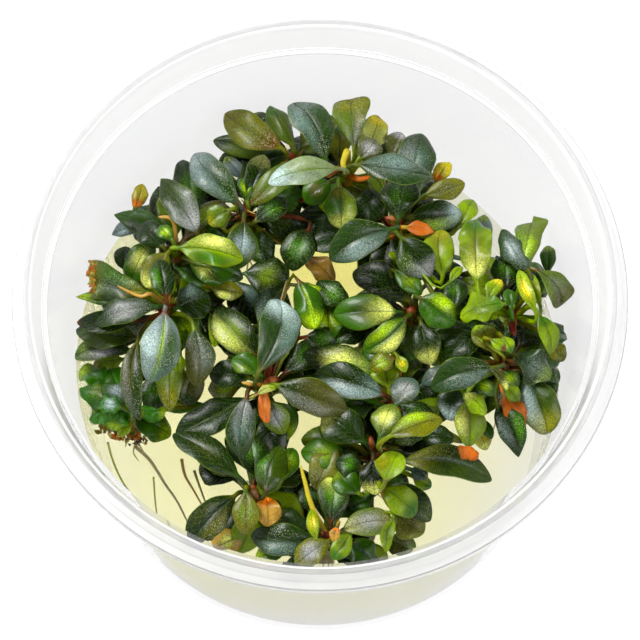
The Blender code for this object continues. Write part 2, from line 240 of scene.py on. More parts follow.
# Where each plantlet's crown is seen (x, y), and its layer.
CROWNS = {
    "left": (-25.8, 5.3, 4),
    "left_back": (-24.5, 15.5, 4),
    "back_left": (-13.0, 23.0, 4),
    "back": (-5.0, 32.6, 4),
    "back_right": (4.5, 30.0, 4),
    "centre": (13.0, 19.5, 4),
    "inner": (15.5, 4.5, 4),
    "right": (32.5, 4.0, 4),
    "right_front": (31.0, -4.6, 4),
    "middle": (-9.2, -8.7, 4),
    "centre_front": (11.8, -11.5, 4),
    "front_right": (9.0, -20.5, 4),
    "front_left": (-11.0, -27.0, 4),
    "front": (1.2, -35.0, 4),
    "low_left": (-31.5, -15.0, 0),
}

# The large leaves: where the blade starts (x, y) and ends (x, y), its width,
# its layer, how far the tip droops, its roll in degrees, and its look: a tint,
# then patches of colour and their places, and its form. Patches of silver, pale
# and lavender are painted highlights, and blue patches are painted sheen on the
# leaves' own blue tone.
LEAVES = {
    "left": (
        (-29.0, 7.5, -38.9, 10.4, 6.6, 5, 1.5, -14,
         "teal olive base sage tip green right faint blue middle amber end torn"),
        (-27.5, 5.0, -38.0, 2.0, 5.0, 6, 1.5, 10, "teal dark base lavender middle"),
        (-31.0, -0.5, -41.2, 1.0, 5.0, 4, 1.0, -8, "moss sage right wavy"),
        (-32.0, -2.8, -41.2, -3.6, 4.5, 3, 0.5, 12, "moss lavender left sage tip green end strap"),
        (-26.2, 4.0, -28.3, -8.5, 6.8, 7, 2.5, -12, "silver pale right teal left lime rib blue tip"),
        (-21.2, 1.0, -20.6, -9.2, 5.2, 5, 2.0, -6, "bronze dark left faint lavender middle dark base"),
        (-30.5, -1.0, -30.2, -15.0, 3.8, 5, 2.0, 10, "bronze dark left faint lavender right dark tip"),
    ),
    "left_back": (
        (-20.8, 18.2, -27.4, 28.6, 5.6, 5, 1.0, -10,
         "moss dark left faint lavender right lavender base lance"),
        (-23.8, 15.6, -13.0, 13.6, 5.4, 7, 1.0, 12, "lime cream left green right wavy"),
    ),
    "back_left": (
        (-13.8, 23.8, -21.8, 33.4, 5.8, 5, 1.5, -12,
         "blue faint silver left dark right teal base silver tip"),
        (-13.0, 20.5, -14.3, 11.7, 5.5, 6, 2.0, -14, "moss silver middle"),
    ),
    "back": (
        (-6.6, 34.0, -16.6, 40.8, 6.0, 5, 1.0, -10, "olive faint sage middle brown base"),
        (1.0, 31.8, -4.4, 43.2, 7.0, 6, 0.0, 12, "teal blue left faint silver tip dark base spoon"),
    ),
    "back_right": (
        (3.0, 30.3, -9.0, 28.0, 5.6, 7, 1.5, 12, "sheen sage rib pale tip faint silver left"),
        (5.9, 34.0, 5.1, 43.7, 6.6, 5, 0.0, -10, "sage faint lavender base bronze right olive tip fan"),
        (6.6, 31.0, 19.2, 29.0, 6.2, 7, 1.5, -14, "teal blue left faint silver middle dark base"),
        (3.2, 27.0, 3.7, 19.2, 5.7, 5, 2.0, -10, "green cream tip bronze base sage left round"),
    ),
    "centre": (
        (15.3, 21.3, 24.2, 22.0, 5.5, 4, 1.5, 10, "dark sage right silver tip"),
        (12.0, 19.0, 1.6, 13.6, 6.6, 7, 2.0, -12, "teal blue left faint silver left dark base"),
        (13.8, 17.5, 18.7, 10.5, 6.4, 6, 2.0, 14, "dark lavender tip moss right"),
    ),
    "inner": (
        (17.0, 6.5, 22.8, 2.0, 5.8, 6, 1.5, 12, "green lime left round"),
        (14.5, 3.0, 7.3, -3.0, 4.8, 5, 1.5, -12, "green cream left lime right"),
    ),
    "right": (
        (36.6, 11.6, 41.4, 5.8, 5.6, 6, 1.0, -14, "sage faint lavender middle bronze tip fan"),
        (26.5, 9.5, 26.5, 21.0, 5.8, 6, 1.0, 10, "lime faint brown middle cream base green tip wavy"),
        (31.0, 5.5, 23.5, 3.2, 5.0, 7, 1.5, 12, "lime sage middle green base wavy"),
        (36.8, 3.5, 38.9, -3.4, 3.6, 7, 1.5, -10, "lime green base"),
    ),
    "right_front": (
        (32.7, -3.6, 38.8, -7.6, 6.0, 5, 1.5, -10, "teal faint silver middle sage tip wavy"),
        (34.3, -7.0, 37.9, -17.5, 6.5, 4, 1.5, 12, "moss silver right teal base olive tip spoon"),
        (29.0, -6.0, 18.5, -9.5, 5.5, 7, 1.5, -14, "teal faint silver left dark base"),
        (29.6, -12.5, 32.9, -21.6, 5.0, 4, 1.5, 10, "dark green left faint silver right lance"),
    ),
    "middle": (
        (-10.3, -6.8, -6.5, 6.5, 7.0, 7, 2.0, 12, "teal blue right pale tip spoon"),
        (-11.8, -7.8, -18.5, -7.0, 5.0, 4, 1.5, -10, "dark"),
        (-12.3, -11.4, -24.0, -17.6, 6.2, 3, 1.0, 8, "dark faint sage rib faint teal left"),
        (-12.2, -11.2, -13.0, -21.8, 5.0, 6, 2.0, -12, "teal lavender base blue middle"),
        (-7.3, -9.0, 4.5, -13.5, 6.0, 6, 1.5, 14, "bronze dark base faint lavender right"),
    ),
    "centre_front": (
        (10.8, -10.8, -1.5, -7.3, 6.0, 5, 1.5, -12, "dark blue base silver left"),
    ),
    "front_right": (
        (11.5, -18.0, 20.3, -14.8, 5.0, 8, 1.5, -14, "olive lime left faint bronze base"),
        (13.5, -22.4, 28.4, -25.6, 5.9, 5, 2.0, -10, "moss dark left olive base faint silver rib"),
        (11.0, -26.5, 18.2, -32.6, 5.0, 4, 1.5, 12, "dark faint sage tip"),
    ),
    "front_left": (
        (-13.5, -25.0, -24.4, -17.6, 5.6, 5, 1.5, 12, "dark faint bronze middle"),
        (-14.0, -28.3, -22.4, -38.2, 5.8, 4, 2.0, -12, "dark bronze left faint bronze right"),
    ),
    "front": (
        (-0.5, -35.8, -11.5, -35.0, 5.6, 4, 1.5, -6, "teal dark right blue left"),
        (3.6, -34.4, 12.3, -32.8, 5.5, 5, 1.5, -12, "sage lavender middle olive tip olive base"),
    ),
}

# The smaller leaves that share a piece with their stem, in the same values, with the
# same painted highlights and sheen. Those tinted black are painted near black as the
# shade in the deep gaps.
SMALL_LEAVES = {
    "left": (
        (-24.0, 4.8, -18.6, 6.8, 5.8, 4, 1.0, 4, "dark blue left round"),
        (-24.5, -0.5, -25.0, -13.5, 4.2, 3, 1.0, -8, "sage olive tip"),
        (-31.0, 6.5, -41.2, 6.8, 2.5, 4, 1.0, 0, "green lime tip lance"),
        (-31.0, 2.5, -41.0, 2.3, 3.4, 5, 0.5, 0, "dark brown end folded"),
        (-33.0, 11.5, -33.0, 16.0, 3.3, 3, 0.5, 0, "dark"),
        (-26.0, 6.6, -27.3, 13.5, 3.8, 7, 0.5, 6, "dark green left round"),
        (-20.5, -6.0, -22.5, -12.5, 5.0, 2, 1.0, 0, "bronze dark tip"),
        (-23.5, -3.5, -23.5, -7.0, 2.2, 4, 1.0, 0, "lime"),
        (-28.5, 16.5, -31.8, 9.5, 4.2, 3, 0.5, 0, "green cream middle strap"),
        (-26.5, -6.5, -28.5, -13.5, 4.5, 2, 1.0, 0, "dark green middle"),
        (-33.0, -4.5, -38.0, -5.2, 3.0, 2, 0.5, 0, "lime olive tip wavy"),
    ),
    "left_back": (
        (-26.0, 14.5, -29.6, 8.6, 4.0, 6, 1.0, 10, "olive cream tip strap"),
        (-25.5, 18.0, -35.3, 22.0, 3.6, 3, 0.5, -12, "green dark left lance"),
        (-21.5, 21.5, -23.5, 32.0, 5.0, 2, 0.0, 8, "dark green middle"),
        (-26.5, 15.8, -30.0, 20.5, 4.2, 5, 0.5, -10, "dark"),
        (-21.5, 15.5, -16.5, 9.0, 3.8, 4, 1.0, 12, "green cream middle wavy"),
        (-30.5, 20.5, -35.5, 18.2, 2.8, 2, 0.5, 0, "silver pale middle lance"),
        (-25.0, 17.0, -27.2, 19.8, 2.4, 6, 0.5, 0, "green lime middle"),
        (-18.8, 12.2, -13.0, 10.2, 3.2, 5, 0.5, 0, "green dark tip"),
        (-18.5, 8.6, -13.0, 7.5, 3.2, 3, 0.5, 0, "olive cream right"),
        (-31.6, 22.8, -30.4, 27.4, 2.4, 1, 0.0, 0, "yellow orange base round"),
        (-24.0, 11.8, -19.0, 9.0, 3.6, 3, 0.5, 0, "green dark middle"),
    ),
    "back_left": (
        (-12.3, 25.0, -9.5, 33.0, 3.8, 4, 1.0, 10, "dark cream tip"),
        (-15.5, 22.5, -19.0, 20.0, 3.6, 5, 1.0, -10, "sage olive tip"),
        (-11.0, 20.5, -5.5, 24.5, 3.8, 4, 1.0, 8, "dark green middle"),
        (-16.3, 19.0, -18.4, 23.8, 3.6, 3, 0.5, 0, "olive yellow middle"),
        (-12.5, 24.0, -13.6, 28.8, 2.2, 4, 0.5, 0, "green lime middle"),
        (-13.0, 28.5, -16.2, 32.6, 2.6, 2, 0.0, 0, "silver sage tip"),
        (-1.8, 19.0, -4.8, 11.5, 5.2, 3, 1.0, 6, "dark green middle"),
        (-10.5, 19.0, -9.0, 12.5, 4.2, 2, 1.0, 0, "dark green right"),
        (-3.0, 24.0, -11.0, 20.5, 5.5, 1, 0.5, 0, "black dark middle"),
        (3.0, 24.5, -4.0, 17.5, 5.2, 1, 0.5, 0, "black dark tip"),
        (-9.0, 16.5, -3.0, 22.0, 5.0, 0, 0.5, 0, "dark"),
        (-8.0, 14.0, -6.6, 7.4, 4.2, 1, 0.5, 0, "dark green middle"),
        (-2.6, 13.6, 2.4, 9.4, 3.6, 0, 0.5, 0, "amber brown base wavy"),
    ),
    "back": (
        (-4.6, 34.5, -8.6, 42.3, 3.6, 4, 0.0, 10, "sage green tip curled"),
        (-8.5, 32.5, -18.4, 35.7, 3.6, 2, 0.0, -8, "sage dark tip"),
        (-5.5, 33.0, -11.0, 30.0, 3.0, 2, 0.5, 0, "green dark middle"),
        (-4.8, 31.6, -12.0, 23.6, 4.0, 4, 1.0, 0, "sage bronze tip"),
    ),
    "back_right": (
        (7.4, 32.8, 10.2, 40.4, 4.2, 3, 0.0, 10, "cream yellow tip lime base brown end wavy"),
        (6.7, 32.0, 9.8, 35.8, 4.0, 6, 0.5, 0, "bronze lavender middle"),
        (3.5, 31.2, 3.4, 38.6, 3.4, 4, 0.5, 0, "olive green tip"),
        (8.5, 26.8, 8.5, 19.8, 4.5, 3, 1.0, 0, "dark"),
        (1.6, 27.8, -2.6, 24.0, 4.2, 4, 1.0, 0, "green bronze middle round"),
        (2.6, 29.0, -3.0, 23.0, 4.4, 1, 1.0, 0, "dark"),
    ),
    "centre": (
        (13.2, 21.0, 14.0, 28.5, 6.0, 5, 1.0, -10, "dark green middle"),
        (15.6, 24.5, 17.6, 37.2, 6.0, 3, 0.0, 12, "teal blue middle faint lavender left"),
        (17.0, 16.5, 22.0, 11.5, 4.4, 4, 0.5, -8, "olive cream base"),
        (8.0, 16.5, -3.0, 15.5, 4.8, 3, 1.0, 10, "dark"),
        (12.0, 32.5, 14.0, 37.0, 3.4, 3, 0.0, 0, "bronze lavender tip"),
        (14.6, 19.4, 19.4, 18.5, 2.4, 5, 0.5, 0, "orange red base lance"),
        (19.8, 27.6, 22.3, 31.4, 2.6, 2, 0.0, 0, "yellow orange base"),
        (17.8, 25.3, 24.8, 27.6, 3.4, 3, 0.5, 0, "olive bronze middle"),
        (20.8, 10.5, 20.5, 19.0, 4.8, 5, 0.5, 0, "lime olive tip faint brown middle"),
        (22.0, 9.4, 24.2, 12.2, 1.4, 6, 0.5, 0, "lime"),
        (22.6, 4.8, 22.6, 10.2, 3.6, 5, 0.5, 0, "teal green middle"),
        (23.6, 19.6, 26.2, 24.6, 3.2, 3, 0.5, 0, "lime sage tip"),
        (28.0, 15.5, 28.0, 22.0, 2.8, 1, 0.5, 0, "silver sage tip"),
        (12.0, 18.0, 10.0, 10.0, 4.6, 2, 1.0, 0, "black dark tip"),
        (9.0, 18.5, -1.6, 19.6, 4.6, 2, 1.0, 0, "dark green middle"),
    ),
    "inner": (
        (15.0, 6.0, 5.5, 11.5, 5.5, 4, 1.0, -10, "black dark middle"),
        (17.0, 2.0, 18.6, -5.4, 4.6, 4, 1.0, 10, "dark cream tip"),
        (13.0, 4.0, 2.2, 3.6, 5.6, 4, 1.0, -8, "green cream base dark middle"),
        (19.0, 0.5, 27.0, -2.0, 4.8, 3, 1.0, 10, "dark"),
        (12.6, 11.6, 17.2, 7.2, 3.0, 5, 0.5, 0, "green sage middle"),
        (18.0, 9.0, 24.0, 12.5, 4.6, 2, 1.0, 0, "dark"),
        (5.0, 4.5, -0.5, 9.5, 4.0, 3, 0.5, 0, "dark green middle"),
        (9.5, 0.8, 1.2, -0.6, 4.6, 2, 0.5, 0, "dark green tip"),
    ),
    "right": (
        (33.8, 9.0, 36.3, 20.6, 4.4, 5, 0.5, 12, "sage lime middle green left faint bronze tip torn"),
        (31.0, 8.0, 23.8, 9.2, 4.0, 3, 0.5, -10, "lime green base wavy"),
        (31.5, 8.5, 31.8, 14.3, 4.4, 5, 0.5, 8, "dark green middle round"),
        (38.6, 11.0, 38.8, 16.2, 2.4, 3, 0.5, 0, "green lime tip"),
        (35.4, 11.4, 31.0, 19.4, 3.6, 6, 0.5, 0, "teal silver middle dark base curled"),
        (36.4, 4.0, 33.8, 11.8, 2.2, 7, 0.5, 0, "lime yellow middle folded"),
        (37.2, 5.0, 35.9, 11.0, 1.8, 6, 0.5, 0, "lime olive middle folded"),
        (28.3, 6.3, 30.7, 9.8, 2.4, 6, 0.5, 0, "lime yellow tip"),
        (32.2, 4.8, 31.6, 8.2, 2.0, 7, 0.5, 0, "green"),
        (38.6, -1.2, 40.8, -4.8, 2.8, 4, 0.5, 0, "olive bronze tip"),
        (34.0, 7.5, 36.5, 13.0, 3.6, 2, 0.5, 0, "green dark middle"),
    ),
    "right_front": (
        (24.6, -11.6, 24.8, -19.8, 4.8, 4, 1.5, -12, "lime faint bronze middle cream right"),
        (29.0, -3.0, 26.2, 1.6, 4.2, 5, 1.0, 10, "olive lime tip round"),
        (24.0, -9.5, 21.3, -15.2, 4.8, 3, 0.5, 8, "teal pale tip"),
        (37.5, -8.4, 39.3, -10.8, 2.6, 3, 0.5, 0, "green dark tip"),
        (28.5, -6.0, 31.3, -9.8, 1.3, 7, 0.5, 0, "bronze cream tip strap"),
        (30.4, -6.6, 33.2, -9.2, 2.6, 5, 0.5, 0, "green lime middle"),
        (30.8, -9.0, 33.4, -11.8, 2.4, 5, 0.5, 0, "lime sage tip"),
        (30.8, -10.8, 33.6, -16.6, 3.4, 4, 0.5, 0, "orange amber tip strap"),
        (24.0, -10.4, 27.6, -14.2, 2.8, 6, 0.5, 0, "lime cream base curled"),
        (25.8, -8.6, 29.2, -10.6, 2.4, 6, 0.5, 0, "green lime middle"),
        (27.0, 0.0, 21.0, -4.6, 4.8, 4, 0.5, 0, "dark"),
        (30.6, -0.4, 32.2, -3.2, 2.0, 6, 0.5, 0, "lime green tip"),
        (28.6, -0.9, 31.2, -2.8, 1.8, 7, 0.5, 0, "lime brown tip"),
        (25.8, -15.8, 27.6, -20.4, 2.8, 2, 0.5, 0, "yellow cream tip"),
        (27.0, -15.0, 28.6, -18.4, 1.8, 3, 0.5, 0, "green"),
        (21.8, -5.8, 17.0, -8.6, 2.7, 5, 0.5, 0, "blue lavender middle"),
        (33.5, -6.0, 36.5, -12.0, 4.4, 2, 0.5, 0, "dark green middle"),
    ),
    "middle": (
        (-8.8, -11.8, -6.0, -17.6, 4.0, 4, 1.0, 10, "sage lavender middle"),
        (-9.8, -4.0, -17.8, 4.8, 5.6, 4, 1.0, -10, "dark sage middle cream left"),
        (-7.0, -2.5, -7.5, 9.5, 5.5, 3, 0.0, 8, "dark blue left"),
        (-3.5, 9.5, -0.8, 1.0, 4.5, 4, 0.5, 0, "green lime rib lime tip curled"),
        (-10.4, -6.9, -14.8, -4.4, 3.5, 5, 0.5, 0, "green sage left"),
        (-8.0, -14.0, -7.2, -22.2, 4.8, 2, 1.0, 0, "black dark tip"),
        (-18.6, 2.6, -17.6, -2.2, 1.6, 3, 0.5, 0, "lime yellow middle strap"),
        (-9.3, -9.8, -8.8, -15.6, 1.9, 5, 0.5, 0, "orange red base strap"),
        (-10.4, -10.6, -7.4, -9.4, 1.3, 7, 0.2, 0, "cream lime tip strap"),
        (-12.8, 11.0, -5.0, 8.8, 6.0, 2, 0.5, 0, "dark sage middle"),
        (-14.5, 9.5, -10.5, 2.0, 5.4, 2, 0.5, 0, "black blue left"),
        (1.0, 6.0, 1.0, -1.5, 4.8, 2, 0.5, 0, "green lime middle wavy"),
        (-2.5, -0.5, 3.5, -2.2, 4.4, 2, 0.5, 0, "dark green middle"),
        (-3.6, 8.8, 0.8, 5.4, 3.6, 3, 0.5, 0, "green lime left round"),
        (-6.0, -7.0, 1.0, -1.0, 4.6, 2, 0.5, 0, "dark green middle"),
        (-12.0, -4.0, -17.5, 0.5, 4.6, 2, 0.5, 0, "dark"),
    ),
    "centre_front": (
        (12.6, -12.6, 15.6, -7.8, 4.4, 6, 1.0, -14, "blue lavender middle dark base"),
        (10.0, -6.8, -2.8, -3.4, 5.4, 3, 0.5, 8, "dark green base cream middle"),
        (11.5, -9.5, 10.8, -5.0, 4.2, 4, 0.5, -10, "lime olive tip"),
        (12.4, -4.4, 8.4, -6.2, 3.0, 5, 0.5, 0, "olive lime middle round"),
        (13.0, -3.8, 14.3, -6.8, 1.8, 5, 0.5, 0, "lime yellow middle folded"),
        (4.0, -12.0, 0.4, -18.2, 4.2, 2, 0.5, 0, "green lime middle wavy"),
        (22.5, -18.8, 17.0, -18.0, 3.4, 4, 0.5, 0, "dark"),
        (13.5, -12.5, 19.0, -16.5, 4.4, 3, 0.5, 0, "dark green middle"),
        (14.5, -9.5, 20.0, -11.5, 4.2, 2, 0.5, 0, "dark"),
        (11.0, -2.6, 7.0, -3.4, 4.2, 3, 0.5, 0, "green cream base"),
    ),
    "front_right": (
        (7.4, -19.0, 0.6, -13.2, 5.8, 5, 1.0, -8, "dark cream tip"),
        (8.8, -22.0, 9.0, -28.2, 4.2, 6, 1.5, 12, "black cream tip"),
        (10.0, -18.0, 12.0, -12.2, 4.4, 7, 0.5, -12, "sage cream middle"),
        (10.5, -27.0, 15.8, -31.6, 4.4, 5, 1.5, 10, "lime green tip"),
        (7.0, -23.5, 2.6, -22.5, 4.0, 4, 0.5, -8, "dark green middle"),
        (10.8, -25.8, 13.0, -20.8, 4.6, 7, 0.5, -14, "lime olive left folded"),
        (6.5, -28.0, 2.7, -24.0, 4.2, 4, 0.5, 0, "green sage tip"),
        (8.6, -28.4, 4.8, -30.2, 3.0, 3, 0.5, 0, "green dark tip"),
        (15.0, -23.8, 17.8, -25.2, 2.6, 4, 0.5, 0, "blue dark tip"),
        (15.4, -25.0, 18.4, -26.8, 2.4, 3, 0.5, 0, "lime green tip"),
        (12.4, -31.0, 17.0, -34.8, 4.8, 3, 0.5, 0, "olive bronze middle"),
        (11.0, -35.6, 15.6, -38.2, 4.2, 2, 0.5, 0, "bronze sage tip"),
        (2.5, -19.2, -0.8, -27.2, 4.6, 3, 0.5, 0, "olive bronze tip"),
        (4.5, -21.5, -3.2, -20.4, 4.6, 3, 0.5, 0, "green sage middle"),
        (10.0, -24.0, 14.5, -28.0, 4.4, 2, 0.5, 0, "dark green middle"),
    ),
    "front_left": (
        (-12.3, -27.6, -12.2, -35.0, 4.0, 5, 1.5, 10, "olive brown rib sage middle"),
        (-9.0, -27.5, -6.5, -19.6, 4.8, 5, 1.0, -10, "moss green left curled"),
        (-10.8, -25.0, -12.0, -17.5, 4.8, 3, 0.5, 8, "dark green middle"),
        (-7.0, -23.0, -10.0, -28.2, 3.2, 4, 0.5, 0, "green sage tip"),
        (-9.0, -28.4, -8.6, -33.6, 4.0, 4, 0.5, 0, "amber orange base wavy"),
        (-12.6, -34.8, -18.0, -37.4, 3.8, 2, 0.5, 0, "amber cream middle brown rib wavy"),
        (-6.5, -26.0, -4.5, -20.0, 3.8, 3, 0.5, 0, "green lime middle"),
        (-8.5, -28.2, -3.0, -28.8, 3.8, 2, 0.5, 0, "dark"),
    ),
    "front": (
        (1.8, -33.0, 2.2, -24.6, 4.6, 4, 1.0, 8, "dark green middle cream tip"),
        (1.5, -36.0, -4.2, -40.2, 4.6, 5, 2.0, 12, "olive lavender middle"),
        (5.0, -36.5, 8.8, -39.6, 4.6, 3, 1.0, -10, "green blue rib"),
        (-1.8, -33.8, -8.6, -31.2, 4.0, 3, 0.5, 8, "teal cream tip"),
        (5.0, -34.8, 2.0, -39.2, 3.0, 5, 0.5, 0, "lime green tip"),
        (2.5, -38.2, 6.6, -40.4, 2.8, 2, 0.5, 0, "dark"),
        (12.2, -32.4, 10.8, -38.0, 2.0, 5, 0.5, 0, "lime sage middle folded"),
        (-5.0, -36.8, -10.6, -39.4, 3.2, 2, 0.5, 0, "green lime tip"),
        (-1.5, -31.2, -1.8, -26.4, 3.4, 3, 0.5, 0, "dark green middle"),
        (-0.6, -35.8, -1.3, -30.4, 1.9, 5, 0.5, 0, "lime yellow middle lance"),
        (2.8, -33.6, 2.2, -36.2, 1.6, 6, 0.5, 0, "amber orange base"),
        (3.0, -32.0, 7.0, -28.0, 4.0, 2, 0.5, 0, "green dark middle"),
    ),
    "low_left": (
        (-33.5, -11.5, -40.2, -9.6, 4.4, 3, 1.0, 12, "vivid faint cream middle curled"),
        (-34.5, -9.0, -40.2, -6.2, 4.2, 2, 1.0, 20, "vivid lime tip wavy"),
        (-33.0, -11.0, -35.4, -5.4, 4.6, 2, 0.5, 10, "vivid green left curled"),
        (-31.0, -10.5, -31.0, -5.0, 3.8, 1, 0.5, -12, "green vivid tip wavy"),
        (-34.5, -12.5, -38.4, -15.2, 3.8, 2, 0.5, 14, "vivid lime right curled"),
        (-33.0, -12.5, -34.5, -17.0, 3.8, 2, 1.0, -14, "vivid lime tip curled"),
        (-31.5, -12.0, -36.5, -9.0, 3.4, 4, 0.5, 0, "green silver middle curled"),
        (-33.0, -13.0, -37.0, -12.4, 3.0, 4, 0.5, 0, "vivid pale middle wavy"),
        (-30.6, -14.5, -24.6, -17.6, 5.0, 1, 1.5, -10, "green dark base lime tip round"),
        (-30.0, -13.8, -25.6, -13.4, 3.4, 2, 1.0, 12, "vivid lime tip curled"),
        (-28.0, -13.4, -18.0, -13.2, 2.0, 1, 0.5, 0, "vivid olive middle wavy"),
        (-31.6, -15.2, -33.4, -18.0, 2.2, 1, 0.5, 0, "lime olive base"),
    ),
}

# How many low leaves fill each plantlet under those that are read one by one,
# and the way that they leave open, in degrees from +X. Below: where such a leaf
# starts and ends from the crown, its width, droop, roll and layers, the turn
# from one to the next and half of the open way (both in radians).
FILL = {
    "left": (18, 250), "left_back": (19, 190), "back_left": (22, 100), "back": (12, 90),
    "back_right": (20, 90), "centre": (24, 200), "inner": (24, 60), "right": (20, 0),
    "right_front": (19, 290), "middle": (22, 215), "centre_front": (22, 160), "front_right": (18, 320),
    "front_left": (12, 200), "front": (14, 270), "low_left": (0, 200),
}
FILL_LOOKS = (
    "dark lance", "dark green middle", "green dark base wavy", "dark", "moss dark tip lance",
    "green lime tip", "dark faint sage middle", "olive lime middle lance", "green lime middle wavy",
    "lime green base", "moss dark base wavy", "moss green tip lance", "lime olive tip folded",
    "dark moss tip",
)
FILL_START = (1.8, 4.0)
FILL_REACH = (7.5, 12.5)
FILL_WIDTH = (4.0, 5.8)
FILL_DROOP = (0.5, 2.0)
FILL_ROLL = 14
FILL_LAYERS = (-2.0, -1.0, 0.0, 1.0, 2.0)
FILL_DEPTH = 4
FILL_TURN = 2.4
OPEN_WAY = 0.5

# Roots in the gel: points as read (x, y), radius and tint. The root tint is the roots'
# own tan, painted lighter for the light that the gel keeps from them.
ROOTS = {
    "long": (((-30.6, -19.8), (-28.4, -21.9), (-26.9, -24.1), (-25.4, -26.6), (-23.6, -29.2),
              (-21.6, -33.2)), 0.34, "root"),
    "outer": (((-35.2, -19.1), (-34.5, -21.6), (-33.4, -24.4), (-31.9, -27.1), (-29.9, -29.8),
               (-27.1, -32.4), (-22.6, -35.2)), 0.22, "cream"),
    "thin": (((-27.5, -25.1), (-27.2, -28.7), (-26.7, -31.9), (-25.4, -34.6)), 0.18, "cream"),
    "tan": (((-22.9, -22.0), (-22.3, -24.8), (-20.9, -27.3), (-19.4, -30.0)), 0.30, "amber"),
    "green": (((-20.8, -24.0), (-19.8, -26.9), (-18.7, -29.9)), 0.26, "olive"),
    "front": (((-14.6, -37.0), (-12.0, -35.6), (-9.0, -36.6)), 0.24, "brown"),
}

# Heaps of crumbs: place as read (x, y), height, spread three ways, count, size and tints.
SCRAPS = {
    "crown": (
        (-35.4, -16.6, 28.7, (0.7, 0.5, 0.3), 14, 0.40, "amber cream amber olive"),
        (-34.2, -17.6, 28.3, (0.6, 0.4, 0.3), 12, 0.32, "brown grey amber"),
        (-33.0, -18.2, 28.3, (0.7, 0.5, 0.4), 18, 0.42, "amber brown cream orange"),
        (-30.8, -17.2, 28.6, (0.7, 0.6, 0.4), 18, 0.42, "orange amber brown orange cream"),
        (-30.2, -18.8, 28.0, (0.9, 0.6, 0.3), 34, 0.26, "grey brown grey amber"),
        (-33.6, -16.0, 28.6, (1.0, 0.6, 0.4), 14, 0.46, "olive amber cream brown"),
    ),
    "edge": (
        (-38.5, 12.2, 45.0, (0.30, 0.6, 0.25), 26, 0.26, "amber cream orange amber"),
        (-38.5, 10.2, 45.0, (0.30, 0.7, 0.25), 30, 0.26, "amber cream orange amber yellow"),
        (-38.3, 8.2, 44.8, (0.30, 0.6, 0.25), 26, 0.24, "orange amber amber cream"),
    ),
}

# A crumb's least and greatest size on each axis, as shares of its heap's size.
CRUMB_SHAPE = ((0.5, 1.6), (0.4, 1.2), (0.3, 0.9))

# Stalks: points as read (x, y), radius, layer, tint, and the crown that they rise
# from. One has none: a dying leaf that shows past the blade it lies on.
STALKS = {
    "left": (((-28.4, 7.2), (-30.6, 6.9), (-34.3, 8.8)), 0.32, 6, "amber", "left"),
    "left_yellow": (((-25.5, 8.0), (-25.3, 10.4)), 0.45, 6, "yellow", "left"),
    "left_back": (((-25.0, 20.6), (-27.6, 21.3)), 0.38, 5, "amber", "left_back"),
    "left_back_red": (((-25.2, 14.4), (-26.0, 16.0)), 0.55, 4, "red", "left_back"),
    "back_right_yellow": (((4.8, 33.5), (4.0, 31.6), (4.4, 29.2)), 0.55, 6, "yellow", "back_right"),
    "back_right_orange": (((6.4, 28.3), (8.6, 28.8)), 0.5, 5, "orange", "back_right"),
    "back_right_red": (((3.0, 30.2), (1.2, 28.6)), 0.6, 5, "red", "back_right"),
    "centre_red": (((13.2, 20.7), (11.0, 21.2)), 0.6, 5, "red", "centre"),
    "right_lime": (((30.6, -3.8), (28.6, -2.2), (26.3, -0.5)), 0.24, 6, "lime", "right_front"),
    "right_red": (((32.4, 1.0), (32.8, -0.2)), 0.6, 5, "red", "right"),
    "right_brown": (((32.6, -5.0), (34.2, -5.2)), 0.5, 5, "brown", "right_front"),
    "middle_red": (((-8.4, -8.2), (-6.9, -7.9)), 0.65, 6, "red", "middle"),
    "middle_cut": (((-11.4, -8.9), (-13.1, -8.5)), 0.36, 6, "amber", "middle"),
    "front_right_red": (((8.6, -19.4), (8.4, -18.0)), 0.5, 6, "red", "front_right"),
    "front_orange": (((22.8, -21.3), (24.4, -21.0), (26.2, -21.8)), 1.3, 5.1, "orange", None),
    "front_left_brown": (((-10.8, -27.6), (-10.2, -28.9)), 0.55, 5, "brown", "front_left"),
    "front_left_yellow": (((-1.2, -30.5), (-2.2, -27.2), (-3.2, -23.0)), 0.42, 4, "yellow", "front"),
}


def mix(one, other, share):
    """Give the colour that lies at a share of the way from one to the other."""
    return tuple(a + (b - a) * share for a, b in zip(one, other))


def linear(name):
    """Turn a named screen colour into the share of light that a surface gives back."""
    return tuple(FOLIAGE_LIGHT * (value / 255.0) ** 2.2 for value in COLOURS[name])


def on_sight_line(x, y, height):
    """Move a point seen on the reading plane to its real height."""
    eye = Vector((0.0, -EYE_DISTANCE * cos(EYE_ELEVATION),
                  RIM_EDGE_HEIGHT + EYE_DISTANCE * sin(EYE_ELEVATION)))
    return Vector((x, y, READ_HEIGHT)).lerp(eye, (height - READ_HEIGHT) / (eye.z - READ_HEIGHT))


def layer_height(layer, y):
    """Give a layer's height, which rises towards the back."""
    return LOWEST_LAYER + LAYER_PITCH * layer + BACKWARD_RISE * y


def wall_radius(height, wall):
    """Give the cup's radius at a height, a wall's thickness inside its outer face."""
    return BASE_RADIUS + (CORNER_RADIUS - BASE_RADIUS) * height / CORNER_HEIGHT - wall


def gel_height(x):
    """Give the height of the gel's top, which falls to the right."""
    return GEL_DEPTH - GEL_SLOPE * x


def crown_top(name):
    """Give the place of the top of a plantlet's stem."""
    x, y, layer = CROWNS[name]
    return on_sight_line(x, y, layer_height(layer, y))


